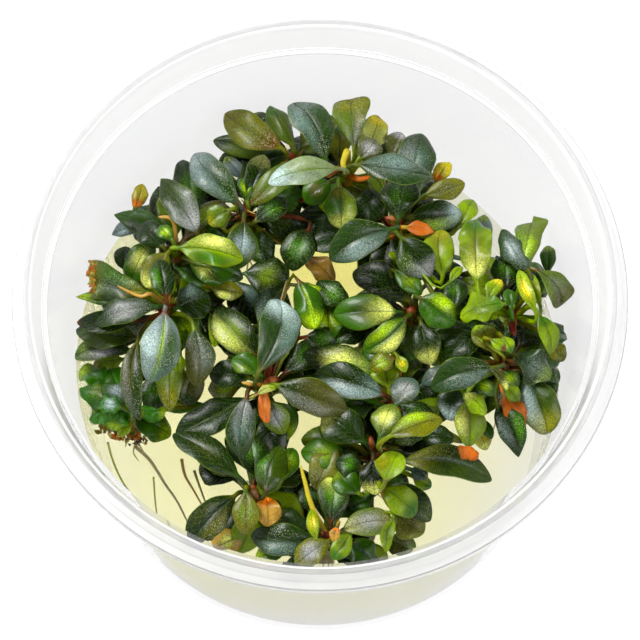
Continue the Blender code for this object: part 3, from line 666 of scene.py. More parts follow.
class Value:
    """A socket that can stand in a Python expression."""

    def __init__(self, graph, socket):
        self.graph = graph
        self.socket = socket

    def math(self, operation, *values):
        return self.graph.node("ShaderNodeMath", {"operation": operation}, dict(enumerate(values)))

    def __add__(self, other):
        return self.math("ADD", self, other)

    def __sub__(self, other):
        return self.math("SUBTRACT", self, other)

    def __rsub__(self, other):
        return self.math("SUBTRACT", other, self)

    def __mul__(self, other):
        return self.math("MULTIPLY", self, other)

    def __abs__(self):
        return self.math("ABSOLUTE", self)

    __radd__ = __add__
    __rmul__ = __mul__

    def sine(self):
        return self.math("SINE", self)

    def step(self, low, high):
        """Rise smoothly from 0 at low to 1 at high."""
        return self.graph.node("ShaderNodeMapRange", {"interpolation_type": "SMOOTHSTEP"},
                               {0: self, 1: low, 2: high, 3: 0.0, 4: 1.0})


class Graph:
    """The nodes of a material, or of the sky."""

    def __init__(self, owner, shader="Principled BSDF"):
        self.owner = owner
        owner.use_nodes = True
        self.tree = owner.node_tree
        self.shader = self.tree.nodes[shader]

    def put(self, node, values):
        for key, value in values.items():
            socket = node.inputs[key]
            if isinstance(value, Value):
                self.tree.links.new(value.socket, socket)
            else:
                socket.default_value = value

    def node(self, kind, settings=None, values=None, output=0):
        """Add a node: its settings first, then the values or links of its sockets."""
        node = self.tree.nodes.new(kind)
        for key, value in (settings or {}).items():
            setattr(node, key, value)
        self.put(node, values or {})
        return Value(self, node.outputs[output])

    def blend(self, share, one, other):
        """Mix two colours, each a link or three numbers."""
        values = [value if isinstance(value, Value) else (*value, 1.0) for value in (one, other)]
        return self.node("ShaderNodeMix", {"data_type": "RGBA"}, {0: share, 6: values[0], 7: values[1]}, 2)

    def place(self):
        return self.node("ShaderNodeTexCoord", output="Object")

    def part(self, vector, axis):
        """One coordinate of a vector."""
        return self.node("ShaderNodeSeparateXYZ", None, {0: vector}, axis)

    def noise(self, size, detail=2.0, rough=0.5):
        """Noise whose features are about `size` millimetres across."""
        return self.node("ShaderNodeTexNoise", None, {"Vector": self.place(), "Scale": 1.0 / (size * MM),
                                                      "Detail": detail, "Roughness": rough})

    def bump(self, height, depth, strength):
        return self.node("ShaderNodeBump", None,
                         {"Strength": strength, "Distance": depth * MM, "Height": height})

    def finish(self, **values):
        self.put(self.shader, {name.replace("_", " "): value for name, value in values.items()})
        return self.owner


def leaf_finish(name, roughness, coat):
    """A waxy blade: its painted colours with painted sheen and highlights, veins,
    midrib, pale specks and a thin pale margin.
    """
    graph = Graph(bpy.data.materials.new(name))
    paint = graph.node("ShaderNodeAttribute", {"attribute_name": "paint"}, output="Color")
    patch = graph.node("ShaderNodeAttribute", {"attribute_name": "patch"}, output="Color")
    share = graph.node("ShaderNodeAttribute", {"attribute_name": "patch"}, output="Alpha")
    specks = graph.node("ShaderNodeAttribute", {"attribute_name": "specks"}, output="Fac")
    blade = graph.node("ShaderNodeUVMap", {"uv_map": "blade"})
    along = graph.part(blade, 1)
    across = abs(graph.part(blade, 0) * 2.0 - 1.0)
    rib = 1.0 - across.step(0.02, 0.07)
    margin = across.step(0.94, 0.985)
    mottle = graph.noise(MOTTLE_SIZE, 3.0, 0.6)
    grain = graph.noise(GRAIN_SIZE, 2.0, 0.8).step(0.34, 0.66)
    veins = (along * VEINS_ALONG - across * VEIN_SWEEP + mottle * VEIN_WANDER).sine().step(0.55, 1.0)
    cell = graph.node("ShaderNodeTexVoronoi", {"feature": "F1"},
                      {"Vector": graph.place(), "Scale": 1.0 / (SPECK_SIZE * MM)})
    # Pale specks, painted thicker inside patches, where they stand for glints in the painted sheen.
    dots = (1.0 - cell.step(0.16, 0.42)) * mottle.step(0.30, 0.55) * specks * (share * 0.9 + 0.35)
    # Patches spread through a fine grain, so each patch, painted sheen among them, breaks into specks at
    # its fringe.
    spread = (share * 1.3 - (1.0 - grain) * 0.30).step(0.0, 1.0)
    patched = graph.blend(spread, paint, patch)
    # A painted highlight: strong patches are brightened further.
    painted_glint = share.step(0.5, 0.95) * (grain * 0.6 + 0.15) + 1.0
    light = (grain * 0.60 + 0.75) * (1.0 - mottle.step(0.35, 0.8) * 0.35) * painted_glint
    shaded = graph.node("ShaderNodeVectorMath", {"operation": "SCALE"}, {0: patched, "Scale": light})
    veined = graph.blend(veins * 0.13, shaded, linear("sage"))
    ribbed = graph.blend(rib * 0.5, veined, linear("dark"))
    rimmed = graph.blend(margin * 0.6, ribbed, linear("edge"))
    colour = graph.blend(dots.step(0.0, 0.9), rimmed, linear("speck"))
    height = dots * 0.3 + mottle * 0.6 + grain * 0.3 - veins * 0.12 - rib * 0.5
    return graph.finish(Base_Color=colour, Roughness=roughness + grain * 0.05, Coat_Weight=coat,
                        Coat_Roughness=0.12, IOR=WAX, Normal=graph.bump(height, 0.12, 0.5))


def stalk_finish():
    """Petioles and stems: painted colour, streaked along, slightly wet."""
    graph = Graph(bpy.data.materials.new("stem"))
    paint = graph.node("ShaderNodeAttribute", {"attribute_name": "paint"}, output="Color")
    fine = graph.noise(0.35, 3.0, 0.6)
    broad = graph.noise(1.6)
    dark = graph.blend(fine.step(0.35, 0.75) * 0.3, paint, linear("brown"))
    colour = graph.blend(broad.step(0.5, 0.72) * 0.35, dark, linear("amber"))
    return graph.finish(Base_Color=colour, Roughness=0.34 + fine * 0.2, Coat_Weight=0.08,
                        Coat_Roughness=0.2, IOR=WAX, Normal=graph.bump(fine, 0.15, 0.6))


def cup_finish(name, colour, clearness, index):
    """Thin moulded plastic, clear or milky. An index of refraction near 1 keeps it free of dark edges."""
    graph = Graph(bpy.data.materials.new(name))
    flow = graph.noise(9.0, 2.0)
    return graph.finish(Base_Color=(*colour, 1.0), Roughness=0.0, IOR=index,
                        Transmission_Weight=clearness, Coat_Weight=0.12, Coat_Roughness=0.0,
                        Normal=graph.bump(flow, 0.05, 0.3))


def gel_finish(colour):
    """Set agar: wet and pale yellow, paler at the front. Painted shade greys it at the right
    and darkens a spot among the plants; a painted cast of light through the leaves yellows it under them.
    """
    graph = Graph(bpy.data.materials.new("gel"))
    cloud = graph.noise(6.0, 3.0, 0.6)
    reach = graph.node("ShaderNodeVectorMath", {"operation": "LENGTH"}, {0: graph.place()}, "Value")
    # Under the plants: a painted yellow cast of the light that comes through and off the leaves.
    under = 1.0 - (reach * (1.0 / MM) + cloud * 12.0).step(34.0, 48.0)
    spot = graph.node("ShaderNodeVectorMath", {"operation": "DISTANCE"},
                      {0: graph.place(), 1: tuple(value * MM for value in SHADED_SPOT)}, "Value")
    # A spot of painted shade among the plants.
    shade_spot_mask = 1.0 - (spot * (1.0 / MM) + cloud * 6.0).step(7.0, 16.0)
    right = graph.part(graph.place(), 0) * (1.0 / MM)
    front = graph.part(graph.place(), 1) * (-1.0 / MM)
    # Painted shade, greyer and a little darker, towards the right.
    pale = graph.blend(right.step(6.0, 30.0), colour, GEL_RIGHT_SHADE)
    leaf_lit = graph.blend(under * (cloud * 0.5 + 0.5), pale, GEL_LEAF_LIGHT)
    spot_shaded = graph.blend(shade_spot_mask, leaf_lit, GEL_SPOT_SHADE)
    tint = graph.blend(front.step(35.0, 41.0), spot_shaded, GEL_FRONT)
    return graph.finish(Base_Color=tint, Roughness=0.0, IOR=GEL_INDEX,
                        Transmission_Weight=GEL_CLEARNESS, Coat_Weight=0.25, Coat_Roughness=0.08,
                        Normal=graph.bump(graph.noise(2.2, 2.0), 0.12, 0.5))


def sky_finish(light, gloom):
    """White where it is seen, also through clear plastic; dimmer where it lights, dark where it glints."""
    graph = Graph(bpy.data.worlds.new("sky"), "Background")
    lit = graph.node("ShaderNodeMath", {"operation": "MINIMUM"},
                     {0: graph.node("ShaderNodeLightPath", output="Diffuse Depth"), 1: 1.0})
    clear = graph.node("ShaderNodeMath", {"operation": "MAXIMUM"},
                       {0: graph.node("ShaderNodeLightPath", output="Is Camera Ray"),
                        1: graph.node("ShaderNodeLightPath", output="Is Singular Ray")})
    seen = clear * (1.0 - lit)
    unseen = lit * (light - gloom) + gloom
    return graph.finish(Color=(1.0, 1.0, 1.0, 1.0), Strength=seen + (1.0 - seen) * unseen)


def keep(name, form, materials, slot, replaced=()):
    """Store a bmesh as a piece of the object, in metres."""
    mesh = bpy.data.meshes.new(name)
    bmesh.ops.scale(form, vec=(MM, MM, MM), verts=form.verts)
    form.to_mesh(mesh)
    form.free()
    for material in materials:
        mesh.materials.append(material)
    mesh.shade_smooth()
    piece = bpy.data.objects.new(name, mesh)
    bpy.context.scene.collection.objects.link(piece)
    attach(piece, ROOT)
    if replaced:
        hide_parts(*replaced)
    return piece


def rounded(outline, radius):
    """Round each inner corner of an open outline with a short curve."""
    points = [Vector(outline[0])]
    for before, corner, after in zip(outline, outline[1:], outline[2:]):
        corner = Vector(corner)
        into, out = Vector(before) - corner, Vector(after) - corner
        reach = min(radius, 0.45 * into.length, 0.45 * out.length)
        start, end = corner + into.normalized() * reach, corner + out.normalized() * reach
        for step in range(ROUNDING_STEPS + 1):
            share = step / ROUNDING_STEPS
            points.append(start.lerp(corner, share).lerp(corner.lerp(end, share), share))
    return points + [Vector(outline[-1])]


def spun(outline):
    """Spin an outline of (radius, height) points about Z into a closed form."""
    form = bmesh.new()
    verts = [form.verts.new((point[0], 0.0, point[1])) for point in outline]
    edges = [form.edges.new(pair) for pair in zip(verts, verts[1:])]
    bmesh.ops.spin(form, geom=verts + edges, cent=(0.0, 0.0, 0.0), axis=(0.0, 0.0, 1.0), angle=2.0 * pi,
                   steps=SPIN_STEPS, use_merge=True)
    bmesh.ops.remove_doubles(form, verts=form.verts, dist=0.002)
    bmesh.ops.recalc_face_normals(form, faces=form.faces)
    return form


class Painter:
    """Layers that a form's vertices and corners are painted with."""

    def __init__(self, form):
        self.form = form
        self.paint = form.verts.layers.float_color.new("paint")
        self.patch = form.verts.layers.float_color.new("patch")
        self.specks = form.verts.layers.float.new("specks")
        self.blade = form.loops.layers.uv.new("blade")

    def tube(self, around, rings, shape, material):
        """Roll a grid into a closed tube. `shape` gives place, colour, specks and UV of a ring's point."""
        made = bmesh.ops.create_grid(self.form, x_segments=around, y_segments=rings, size=1.0)["verts"]
        spots = {}
        for vert in made:
            turn = (vert.co.x + 1.0) * pi
            ring = round((vert.co.y + 1.0) * 0.5 * rings)
            spots[vert] = shape(turn, ring)
        for vert, (place, (paint, patch, share), specks, _) in spots.items():
            vert.co = place
            vert[self.paint] = (*paint, 1.0)
            vert[self.patch] = (*patch, share)
            vert[self.specks] = specks
        faces = {face for vert in made for face in vert.link_faces}
        for face in faces:
            face.material_index = material
            for loop in face.loops:
                loop[self.blade].uv = spots[loop.vert][3]

    def close(self):
        """Merge the seams and the ends, and turn the faces outwards."""
        bmesh.ops.remove_doubles(self.form, verts=self.form.verts, dist=0.004)
        bmesh.ops.recalc_face_normals(self.form, faces=self.form.faces)


def read_look(text):
    """Split a look into its tint, its patches, each strong or faint, and its form."""
    tint, *words = text.split()
    patches = []
    form = "oval"
    strength = STRONG
    while words:
        word = words.pop(0)
        if word in FORMS:
            form = word
        elif word == "faint":
            strength = FAINT
        else:
            patches.append((linear(word), PLACES[words.pop(0)], strength))
            strength = STRONG
    return tint, patches, form


def leaf_colour(tint, patches, across, share, shade):
    """Colours of a blade's upper side at a place: its own, painted darker towards
    the base as shade, its patch's, and how much of the patch.
    """
    # Painted shade: the blade's own colour darkens towards its base, in among the crown.
    colour = mix(linear(tint), linear("dark"), 0.45 * (1.0 - share) ** 2)
    patch, amount = colour, 0.0
    for other, (side, middle, breadth, length), strength in patches:
        here = strength * exp(-(((across - side) / breadth) ** 2 + ((share - middle) / length) ** 2))
        # A patch on one side stops sharply at the midrib, so painted sheen lies on one half, as light falls
        # on a folded blade.
        if side:
            here *= min(1.0, max(0.0, 0.3 + 6.0 * across * (1.0 if side > 0.0 else -1.0)))
        patch = mix(patch, other, here / max(here + amount, 0.001))
        amount += here * (1.0 - amount)
    return tuple(value * shade for value in colour), tuple(value * shade for value in patch), amount


def plain(colour):
    """Colours of a place that has no patch."""
    return colour, colour, 0.0


def inside_wall(point):
    """Pull a point back inside the cup's wall."""
    limit = wall_radius(point.z, WALL_CLEARANCE)
    radius = hypot(point.x, point.y)
    if radius > limit:
        point = Vector((point.x * limit / radius, point.y * limit / radius, point.z))
    return point


def add_leaf(painter, crown, row, tag, mesh, thickness, shadow=1.0, lushness=1.0):
    """Grow a petiole from the crown's stem and open it into a blade.

    Both are one rolled grid: its first rings are the petiole, and the others are
    the blade, pressed flat. A point's turn gives its place across the blade and
    puts it on the upper or the under side.
    """
    around, rings = mesh
    base_x, base_y, tip_x, tip_y, width, layer, droop, roll, text = row
    tint, patches, form = read_look(text)
    widest, base_power, tip_power, fold, arch, ripple, notch, slant = FORMS[form]
    draw = Random(tag)
    height = layer_height(layer, base_y)
    base = inside_wall(on_sight_line(base_x, base_y, height))
    tip = inside_wall(on_sight_line(tip_x, tip_y, height - droop))
    top = crown_top(crown)
    outward = Vector((base.x - top.x, base.y - top.y, 0.0)).normalized()
    start = top + outward * 0.4 * STEM_RADIUS
    start.z -= PETIOLE_DROP + PETIOLE_PITCH * (CROWNS[crown][2] + LAYERS_ABOVE_CROWN - layer)
    length = (tip - base).length
    along = (tip - base).normalized()
    side = Vector((0.0, 0.0, 1.0)).cross(along).normalized()
    side.rotate(Matrix.Rotation(radians(roll + draw.uniform(-ROLL, ROLL)), 3, along))
    normal = along.cross(side)
    bow = draw.uniform(*BOW)
    bend = draw.uniform(-BEND, BEND) * length
    twist = radians(draw.uniform(-TWIST, TWIST))
    phase = draw.uniform(0.0, 2.0 * pi)
    waves = draw.uniform(*WAVES)
    hook = draw.uniform(0.0, HOOK) * length
    # Painted shade for the fill leaves (shadow), times this leaf's own random tone.
    shade = shadow * draw.uniform(*SHADE)
    stalk = linear(draw.choice(PETIOLE_TINTS))
    under = mix(linear("underside"), linear(tint), 0.4)
    half_width = 0.5 * width * lushness
    stalk_radius = min(THICKEST_PETIOLE, 0.3 * half_width)
    leave = (along + normal * 4.0 * bow).normalized()
    gap = (base - start).length
    guide = (start, start + Vector((0.0, 0.0, 0.35 * gap)) + outward * 0.15 * gap,
             base - leave * 0.4 * gap, base)
    stalk_rings = rings // 3
    blade_rings = rings - stalk_rings

    def stalk_centre(share):
        rest = 1.0 - share
        return (guide[0] * rest ** 3 + guide[1] * 3.0 * rest ** 2 * share
                + guide[2] * 3.0 * rest * share ** 2 + guide[3] * share ** 3)

    def outline(share):
        if share <= 0.0 or share >= 1.0:
            return 0.0
        if share < widest:
            return sin(0.5 * pi * share / widest) ** base_power
        return sin(0.5 * pi * (1.0 - share) / (1.0 - widest)) ** tip_power

    def shape(turn, ring):
        lean, rise = cos(turn), sin(turn)
        if ring < stalk_rings:
            share = ring / stalk_rings
            centre = stalk_centre(share)
            run = (stalk_centre(share + 0.02) - stalk_centre(share - 0.02)).normalized()
            ring_side = (side - run * side.dot(run)).normalized()
            ring_up = run.cross(ring_side)
            radius = stalk_radius * (1.25 - 0.25 * share) if ring else 0.0
            place = centre + ring_side * lean * radius + ring_up * rise * radius
            return place, plain(mix(stalk, linear(tint), share * 0.9)), 0.0, (0.25, 0.0)
        step = (ring - stalk_rings) / blade_rings
        share = 0.5 * (1.0 - cos(pi * (0.12 + 0.88 * step))) if step < 1.0 else 1.0
        share = max(0.0, (share - 0.035) / 0.965)
        half = half_width * outline(share)
        opening = min(1.0, share / 0.10)
        across = lean * (1.0 - 0.72 * rise * rise)
        spread = max(half, stalk_radius * (1.0 - share)) if step < 1.0 else 0.0
        wave = 2.0 * pi * waves * share
        lift = half * (fold * abs(across) - arch * across * across)
        lift += half * 1.6 * ripple * across * across * sin(wave + phase + (2.0 if across < 0 else 0.0))
        lift += 0.06 * half * sin(pi * min(1.0, abs(across))) if fold < 0.3 else 0.0
        skin = 0.5 * thickness * (1.0 - across * across) ** 0.5
        groove = exp(-(across / 0.10) ** 2) * (1.0 - share)
        if rise >= 0.0:
            lift += skin - 0.16 * groove
        else:
            lift -= skin + 0.22 * groove
        lift = lift * opening + rise * stalk_radius * (1.0 - opening)
        centre = base.lerp(tip, share) + normal * 4.0 * share * (1.0 - share) * bow * length
        centre += side * 4.0 * share * (1.0 - share) * bend - normal * hook * share ** 4
        cut = notch * share ** 10 * exp(-(across / 0.30) ** 2)
        centre -= along * length * (cut - slant * across * share ** 3)
        ragged = 1.0 + 0.05 * sin(wave + 2.0 * phase + (3.0 if across < 0.0 else 0.0))
        turned = twist * (share - 0.5)
        flat = across * spread * ragged
        place = centre + side * (flat * cos(turned) - lift * sin(turned))
        place += normal * (flat * sin(turned) + lift * cos(turned))
        upper = rise > -0.05
        paint, patch, amount = leaf_colour(tint, patches, across, share, shade) if upper else plain(under)
        paint = mix(paint, stalk, 0.6 * (1.0 - opening))
        specks = SPECKS[tint] * opening if upper else 0.0
        return place, (paint, patch, amount * opening), specks, (0.5 + 0.5 * across, share)

    painter.tube(around, rings, shape, TINT_SLOT.get(tint, 0))


LEAF_SLOTS = ("leaf_dark", "leaf_teal", "leaf_blue", "leaf_silver", "leaf_green", "leaf_lime", "leaf_olive",
              "leaf_bronze", "stem")
STEM_SLOT = len(LEAF_SLOTS) - 1

# The finish that each tint takes in a plantlet; any other tint takes the dark one.
TINT_SLOT = {name[5:]: number for number, name in enumerate(LEAF_SLOTS[:-1])}
for tint, like in (("sage", "green"), ("vivid", "green"), ("yellow", "lime"), ("cream", "lime"),
                   ("amber", "lime")):
    TINT_SLOT[tint] = TINT_SLOT[like]
TINT_SLOT["orange"] = STEM_SLOT

# How rough each leaf finish is, and how much of it is coated.
LEAF_GLOSS = {
    "leaf_dark": (0.20, 0.06), "leaf_teal": (0.20, 0.10), "leaf_blue": (0.20, 0.08),
    "leaf_silver": (0.22, 0.08), "leaf_green": (0.20, 0.12), "leaf_lime": (0.22, 0.08),
    "leaf_olive": (0.24, 0.05), "leaf_bronze": (0.24, 0.05),
}
finishes = {}


def leaf_materials():
    """Make the leaf finishes and the stem's once, and give them in the order of LEAF_SLOTS."""
    if not finishes:
        for slot, gloss in LEAF_GLOSS.items():
            finishes[slot] = leaf_finish(slot, *gloss)
        finishes["stem"] = stalk_finish()
    return [finishes[slot] for slot in LEAF_SLOTS]


def add_tube(painter, path, radius_at, colour_at, around):
    """Grow a stalk, stem or root along a smooth path through its points."""
    rings = len(path) * 4

    def centre(share):
        place = min(max(share, 0.0), 1.0) * (len(path) - 1)
        index = min(int(place), len(path) - 2)
        points = [path[max(0, min(len(path) - 1, index + shift))] for shift in (-1, 0, 1, 2)]
        t = place - index
        return 0.5 * (2.0 * points[1] + (points[2] - points[0]) * t
                      + (2.0 * points[0] - 5.0 * points[1] + 4.0 * points[2] - points[3]) * t * t
                      + (3.0 * points[1] - points[0] - 3.0 * points[2] + points[3]) * t ** 3)

    def shape(turn, ring):
        share = (ring - 1) / (rings - 2)
        share = min(max(share, 0.0), 1.0)
        run = (centre(share + 0.02) - centre(share - 0.02)).normalized()
        side = (run.orthogonal() if abs(run.z) > 0.95 else run.cross(Vector((0, 0, 1)))).normalized()
        up = run.cross(side)
        radius = 0.0 if ring in (0, rings) else radius_at(share, turn)
        place = centre(share) + side * cos(turn) * radius + up * sin(turn) * radius
        return place, plain(colour_at(share)), 0.0, (turn / (2.0 * pi), share)

    painter.tube(around, rings, shape, STEM_SLOT)


def add_stem(painter, crown):
    """Grow the stem from its foot in the gel to the crown, ringed by old leaf scars."""
    top = crown_top(crown)
    foot = gel_height(top.x) - STEM_FOOT_DEPTH
    draw = Random("stem " + crown)
    path = [Vector((top.x, top.y, foot + (top.z - foot) * share)) for share in (0.0, 0.25, 0.5, 0.75, 1.0)]
    for point in path[1:-1]:
        point.x += draw.uniform(-0.5, 0.5)
        point.y += draw.uniform(-0.5, 0.5)

    def radius_at(share, turn):
        scars = 1.0 + 0.10 * sin(share * 42.0)
        lump = 1.0 + 0.22 * noise(Vector((3.0 * cos(turn), 3.0 * sin(turn), share * 14.0 + len(crown))))
        return STEM_RADIUS * (1.0 - 0.45 * share ** 4) * scars * lump

    def colour_at(share):
        low = mix(linear("brown"), linear("olive"), min(1.0, 1.6 * share))
        return mix(low, linear("red"), max(0.0, 3.0 * share - 2.0))

    add_tube(painter, path, radius_at, colour_at, 16)
    for number in range(ROOTS_PER_STEM):
        turn = 2.0 * pi * (number + draw.uniform(0.0, 0.8)) / ROOTS_PER_STEM
        out = Vector((cos(turn), sin(turn), 0.0))
        reach, depth = draw.uniform(1.0, 3.2), draw.uniform(5.0, 11.0)
        root = [path[0] + out * (0.5 + reach * share ** 2) - Vector((0.0, 0.0, depth * share - 0.6))
                for share in (0.0, 0.35, 0.7, 1.0)]
        root[2] += Vector((draw.uniform(-0.6, 0.6), draw.uniform(-0.6, 0.6), 0.0))
        # The root tint is painted lighter than the roots are, for the light that the gel keeps from them.
        add_tube(painter, root, lambda share, turn: 0.22 - 0.12 * share, lambda share: linear("root"), 6)
    for number in range(CROWN_FIBRES):
        turn = draw.uniform(0.0, 2.0 * pi)
        out = Vector((cos(turn), sin(turn), 0.0))
        start = top + out * 0.5 - Vector((0.0, 0.0, draw.uniform(0.3, 3.0)))
        reach, rise = draw.uniform(0.8, 2.2), draw.uniform(-0.6, 1.4)
        fibre = [start + out * reach * share + Vector((0.0, 0.0, rise * share ** 2))
                 for share in (0.0, 0.5, 1.0)]
        fibre[1] += Vector((draw.uniform(-0.3, 0.3), draw.uniform(-0.3, 0.3), 0.2))
        size, tint = draw.uniform(0.10, 0.22), linear(draw.choice(FIBRE_TINTS))
        add_tube(painter, fibre, lambda share, turn, size=size: size * (1.0 - 0.6 * share),
                 lambda share, tint=tint: tint, 6)


def fill_rows(crown):
    """Low leaves between the ones that are read one by one."""
    count, open_way = FILL[crown]
    x, y, level = CROWNS[crown]
    draw = Random("fill " + crown)
    rows = []
    turn = draw.uniform(0.0, 2.0 * pi)
    while len(rows) < count:
        turn += FILL_TURN + draw.uniform(-0.3, 0.3)
        away = abs((turn - radians(open_way) + pi) % (2.0 * pi) - pi)
        if away < OPEN_WAY:
            continue
        start, reach = draw.uniform(*FILL_START), draw.uniform(*FILL_REACH)
        layer = level - FILL_DEPTH + draw.choice(FILL_LAYERS)
        rows.append((x + start * cos(turn), y + start * sin(turn),
                     x + reach * cos(turn), y + reach * sin(turn),
                     draw.uniform(*FILL_WIDTH), layer, draw.uniform(*FILL_DROOP),
                     draw.uniform(-FILL_ROLL, FILL_ROLL), draw.choice(FILL_LOOKS)))
    return rows


class CupSettings(bpy.types.PropertyGroup):
    """Sizes of the cup's wall and edges."""

    wall: FloatProperty(name="Wall", description="Thickness of the cup's wall", default=0.9 * MM,
                        min=0.3 * MM, unit="LENGTH")
    rounding: FloatProperty(name="Rounding", description="Radius of the rim's edges", default=0.45 * MM,
                            min=0.0, unit="LENGTH")


class GelSettings(bpy.types.PropertyGroup):
    """Colour and surface of the gel."""

    colour: FloatVectorProperty(name="Colour", description="Colour of the set gel", subtype="COLOR",
                                default=(0.97, 0.955, 0.64), min=0.0, max=1.0)
    wrinkle: FloatProperty(name="Wrinkle", description="Height of the wrinkles on the gel",
                           default=0.22 * MM, min=0.0, unit="LENGTH")


class LeafSettings(bpy.types.PropertyGroup):
    """Thickness and mesh of the large leaves."""

    thickness: FloatProperty(name="Thickness", description="Thickness of a blade", default=0.20 * MM,
                             min=0.1 * MM, unit="LENGTH")
    around: IntProperty(name="Around", description="Faces around a large leaf", default=32, min=12)
    rings: IntProperty(name="Rings", description="Faces along a large leaf", default=26, min=9)


class StageSettings(bpy.types.PropertyGroup):
    """Floor and lights."""

    floor: FloatVectorProperty(name="Floor", description="Colour of the floor", subtype="COLOR",
                               default=(0.14, 0.14, 0.14), min=0.0, max=1.0)
    glow: FloatProperty(name="Glow", description="Light that the floor gives back", default=1.08, min=0.0)
    key: FloatProperty(name="Key", description="Power of the overhead light", default=5.0, min=0.0,
                       unit="POWER")
    sky: FloatProperty(name="Sky", description="Strength of the light all round", default=0.44, min=0.0)
    gloom: FloatProperty(name="Gloom", description="Strength of the sky in the leaves' gloss",
                         default=0.02, min=0.0)


# The cup's finishes, each with its colour, its clearness and its index of
# refraction: the wall, the milky rim, the clear slope inside it, the thin grey
# lines painted at the corner, the outer edge and the top to stand in for the
# plastic's refraction there, and the foot.
CUP_FINISHES = {
    "cup": ((0.80, 0.80, 0.805), 0.88, 1.002),
    "rim": ((0.94, 0.94, 0.94), 0.42, 1.06),
    "slope": ((0.95, 0.95, 0.95), 0.97, 1.002),
    "painted_edge_line": ((0.66, 0.66, 0.66), 0.65, 1.002),
    "foot": ((0.93, 0.93, 0.93), 0.97, 1.002),
}


def cup_part(radius, height, wall):
    """Name the finish of a place on the cup."""
    corner = abs(height - CORNER_HEIGHT) < 0.12 * wall
    outermost = RIM_RADIUS - 0.3 * wall < radius < RIM_RADIUS - 0.1 * wall
    topmost = height > CUP_HEIGHT - 0.1 * wall
    # Painted grey lines for the refraction at the corner, the outer edge and the top.
    if corner or outermost or topmost:
        return "painted_edge_line"
    if radius > LIP_RADIUS - 1.5 * wall:
        return "rim"
    if height > CORNER_HEIGHT:
        return "slope"
    return "foot" if height < 1.5 * wall else "cup"


class AQUARIUM_OT_cup(bpy.types.Operator):
    """Spin the clear cup with its rolled rim"""

    bl_idname = "aquarium.cup"
    bl_label = "Cup"

    def execute(self, context):
        settings = context.scene.cup_settings
        wall, edge = settings.wall / MM, settings.rounding / MM
        outline = (
            (0.0, wall),
            (BASE_RADIUS - 2.2 * wall, wall),
            (wall_radius(2.0 * wall, wall), 2.0 * wall),
            (CORNER_RADIUS - wall, CORNER_HEIGHT),
            (LIP_RADIUS - wall, CUP_HEIGHT - edge),
            (LIP_RADIUS - 0.4 * wall, CUP_HEIGHT),
            (LIP_RADIUS + 0.4 * wall, CUP_HEIGHT),
            (LIP_RADIUS + 0.8 * wall, CUP_HEIGHT - 0.5 * wall),
            (RIM_RADIUS - 1.4 * wall, RIM_EDGE_HEIGHT + 1.3 * wall),
            (RIM_RADIUS - 1.3 * wall, RIM_EDGE_HEIGHT + wall),
            (RIM_RADIUS - 0.5 * wall, RIM_EDGE_HEIGHT + 0.3 * wall),
            (RIM_RADIUS, RIM_EDGE_HEIGHT - 0.3 * wall),
            (RIM_RADIUS, RIM_EDGE_HEIGHT - HEM),
            (RIM_RADIUS - 0.8 * wall, RIM_EDGE_HEIGHT - HEM),
            (RIM_RADIUS - wall, RIM_EDGE_HEIGHT - 0.7 * wall),
            (LIP_RADIUS, CUP_HEIGHT - 1.6 * wall),
            (CORNER_RADIUS, CORNER_HEIGHT),
            (BASE_RADIUS, wall),
            (BASE_RADIUS - wall, 0.0),
            (BASE_RADIUS - 2.6 * wall, 0.0),
            (BASE_RADIUS - 3.2 * wall, 0.35 * wall),
            (0.0, 0.35 * wall),
        )
        form = spun(rounded(outline, edge))
        names = list(CUP_FINISHES)
        for face in form.faces:
            middle = face.calc_center_median()
            face.material_index = names.index(cup_part(hypot(middle.x, middle.y), middle.z, wall))
        materials = [cup_finish(name, *look) for name, look in CUP_FINISHES.items()]
        keep("cup_shell", form, materials, "cup", ["cup"])
        return {"FINISHED"}


class AQUARIUM_OT_gel(bpy.types.Operator):
    """Spin the bed of gel, slope it and wrinkle its top"""

    bl_idname = "aquarium.gel"
    bl_label = "Gel"

    def execute(self, context):
        settings = context.scene.gel_settings
        wrinkle = settings.wrinkle / MM
        shore = wall_radius(GEL_DEPTH, GEL_WALL)
        low = CUP_FLOOR + GEL_GAP
        low_radius = wall_radius(low, GEL_WALL)
        outline = [(shore * ring / GEL_RINGS, GEL_DEPTH) for ring in range(GEL_RINGS + 1)]
        outline += [(wall_radius(GEL_DEPTH * 0.5, GEL_WALL), GEL_DEPTH * 0.5),
                    (low_radius - 0.1, low + 1.0), (low_radius - 1.4, low), (0.0, low)]
        form = spun(outline)
        rise, fade = MENISCUS
        for vert in form.verts:
            radius = hypot(vert.co.x, vert.co.y)
            if vert.co.z > GEL_DEPTH - 0.01:
                meniscus = rise * exp(-(shore - radius) / fade)
                spot = Vector((vert.co.x * WRINKLE_PITCH[0], vert.co.y * WRINKLE_PITCH[1], 0.0))
                ripple = noise(spot) + 0.5 * noise(spot * FINE_WRINKLE)
                vert.co.z = gel_height(vert.co.x) + meniscus + wrinkle * ripple
                limit = wall_radius(vert.co.z, GEL_WALL) / max(radius, 0.001)
                if limit < 1.0 or radius > shore - 0.01:
                    vert.co.x *= limit
                    vert.co.y *= limit
        keep("gel_bed", form, [gel_finish(tuple(settings.colour))], "gel", ["gel"])
        return {"FINISHED"}


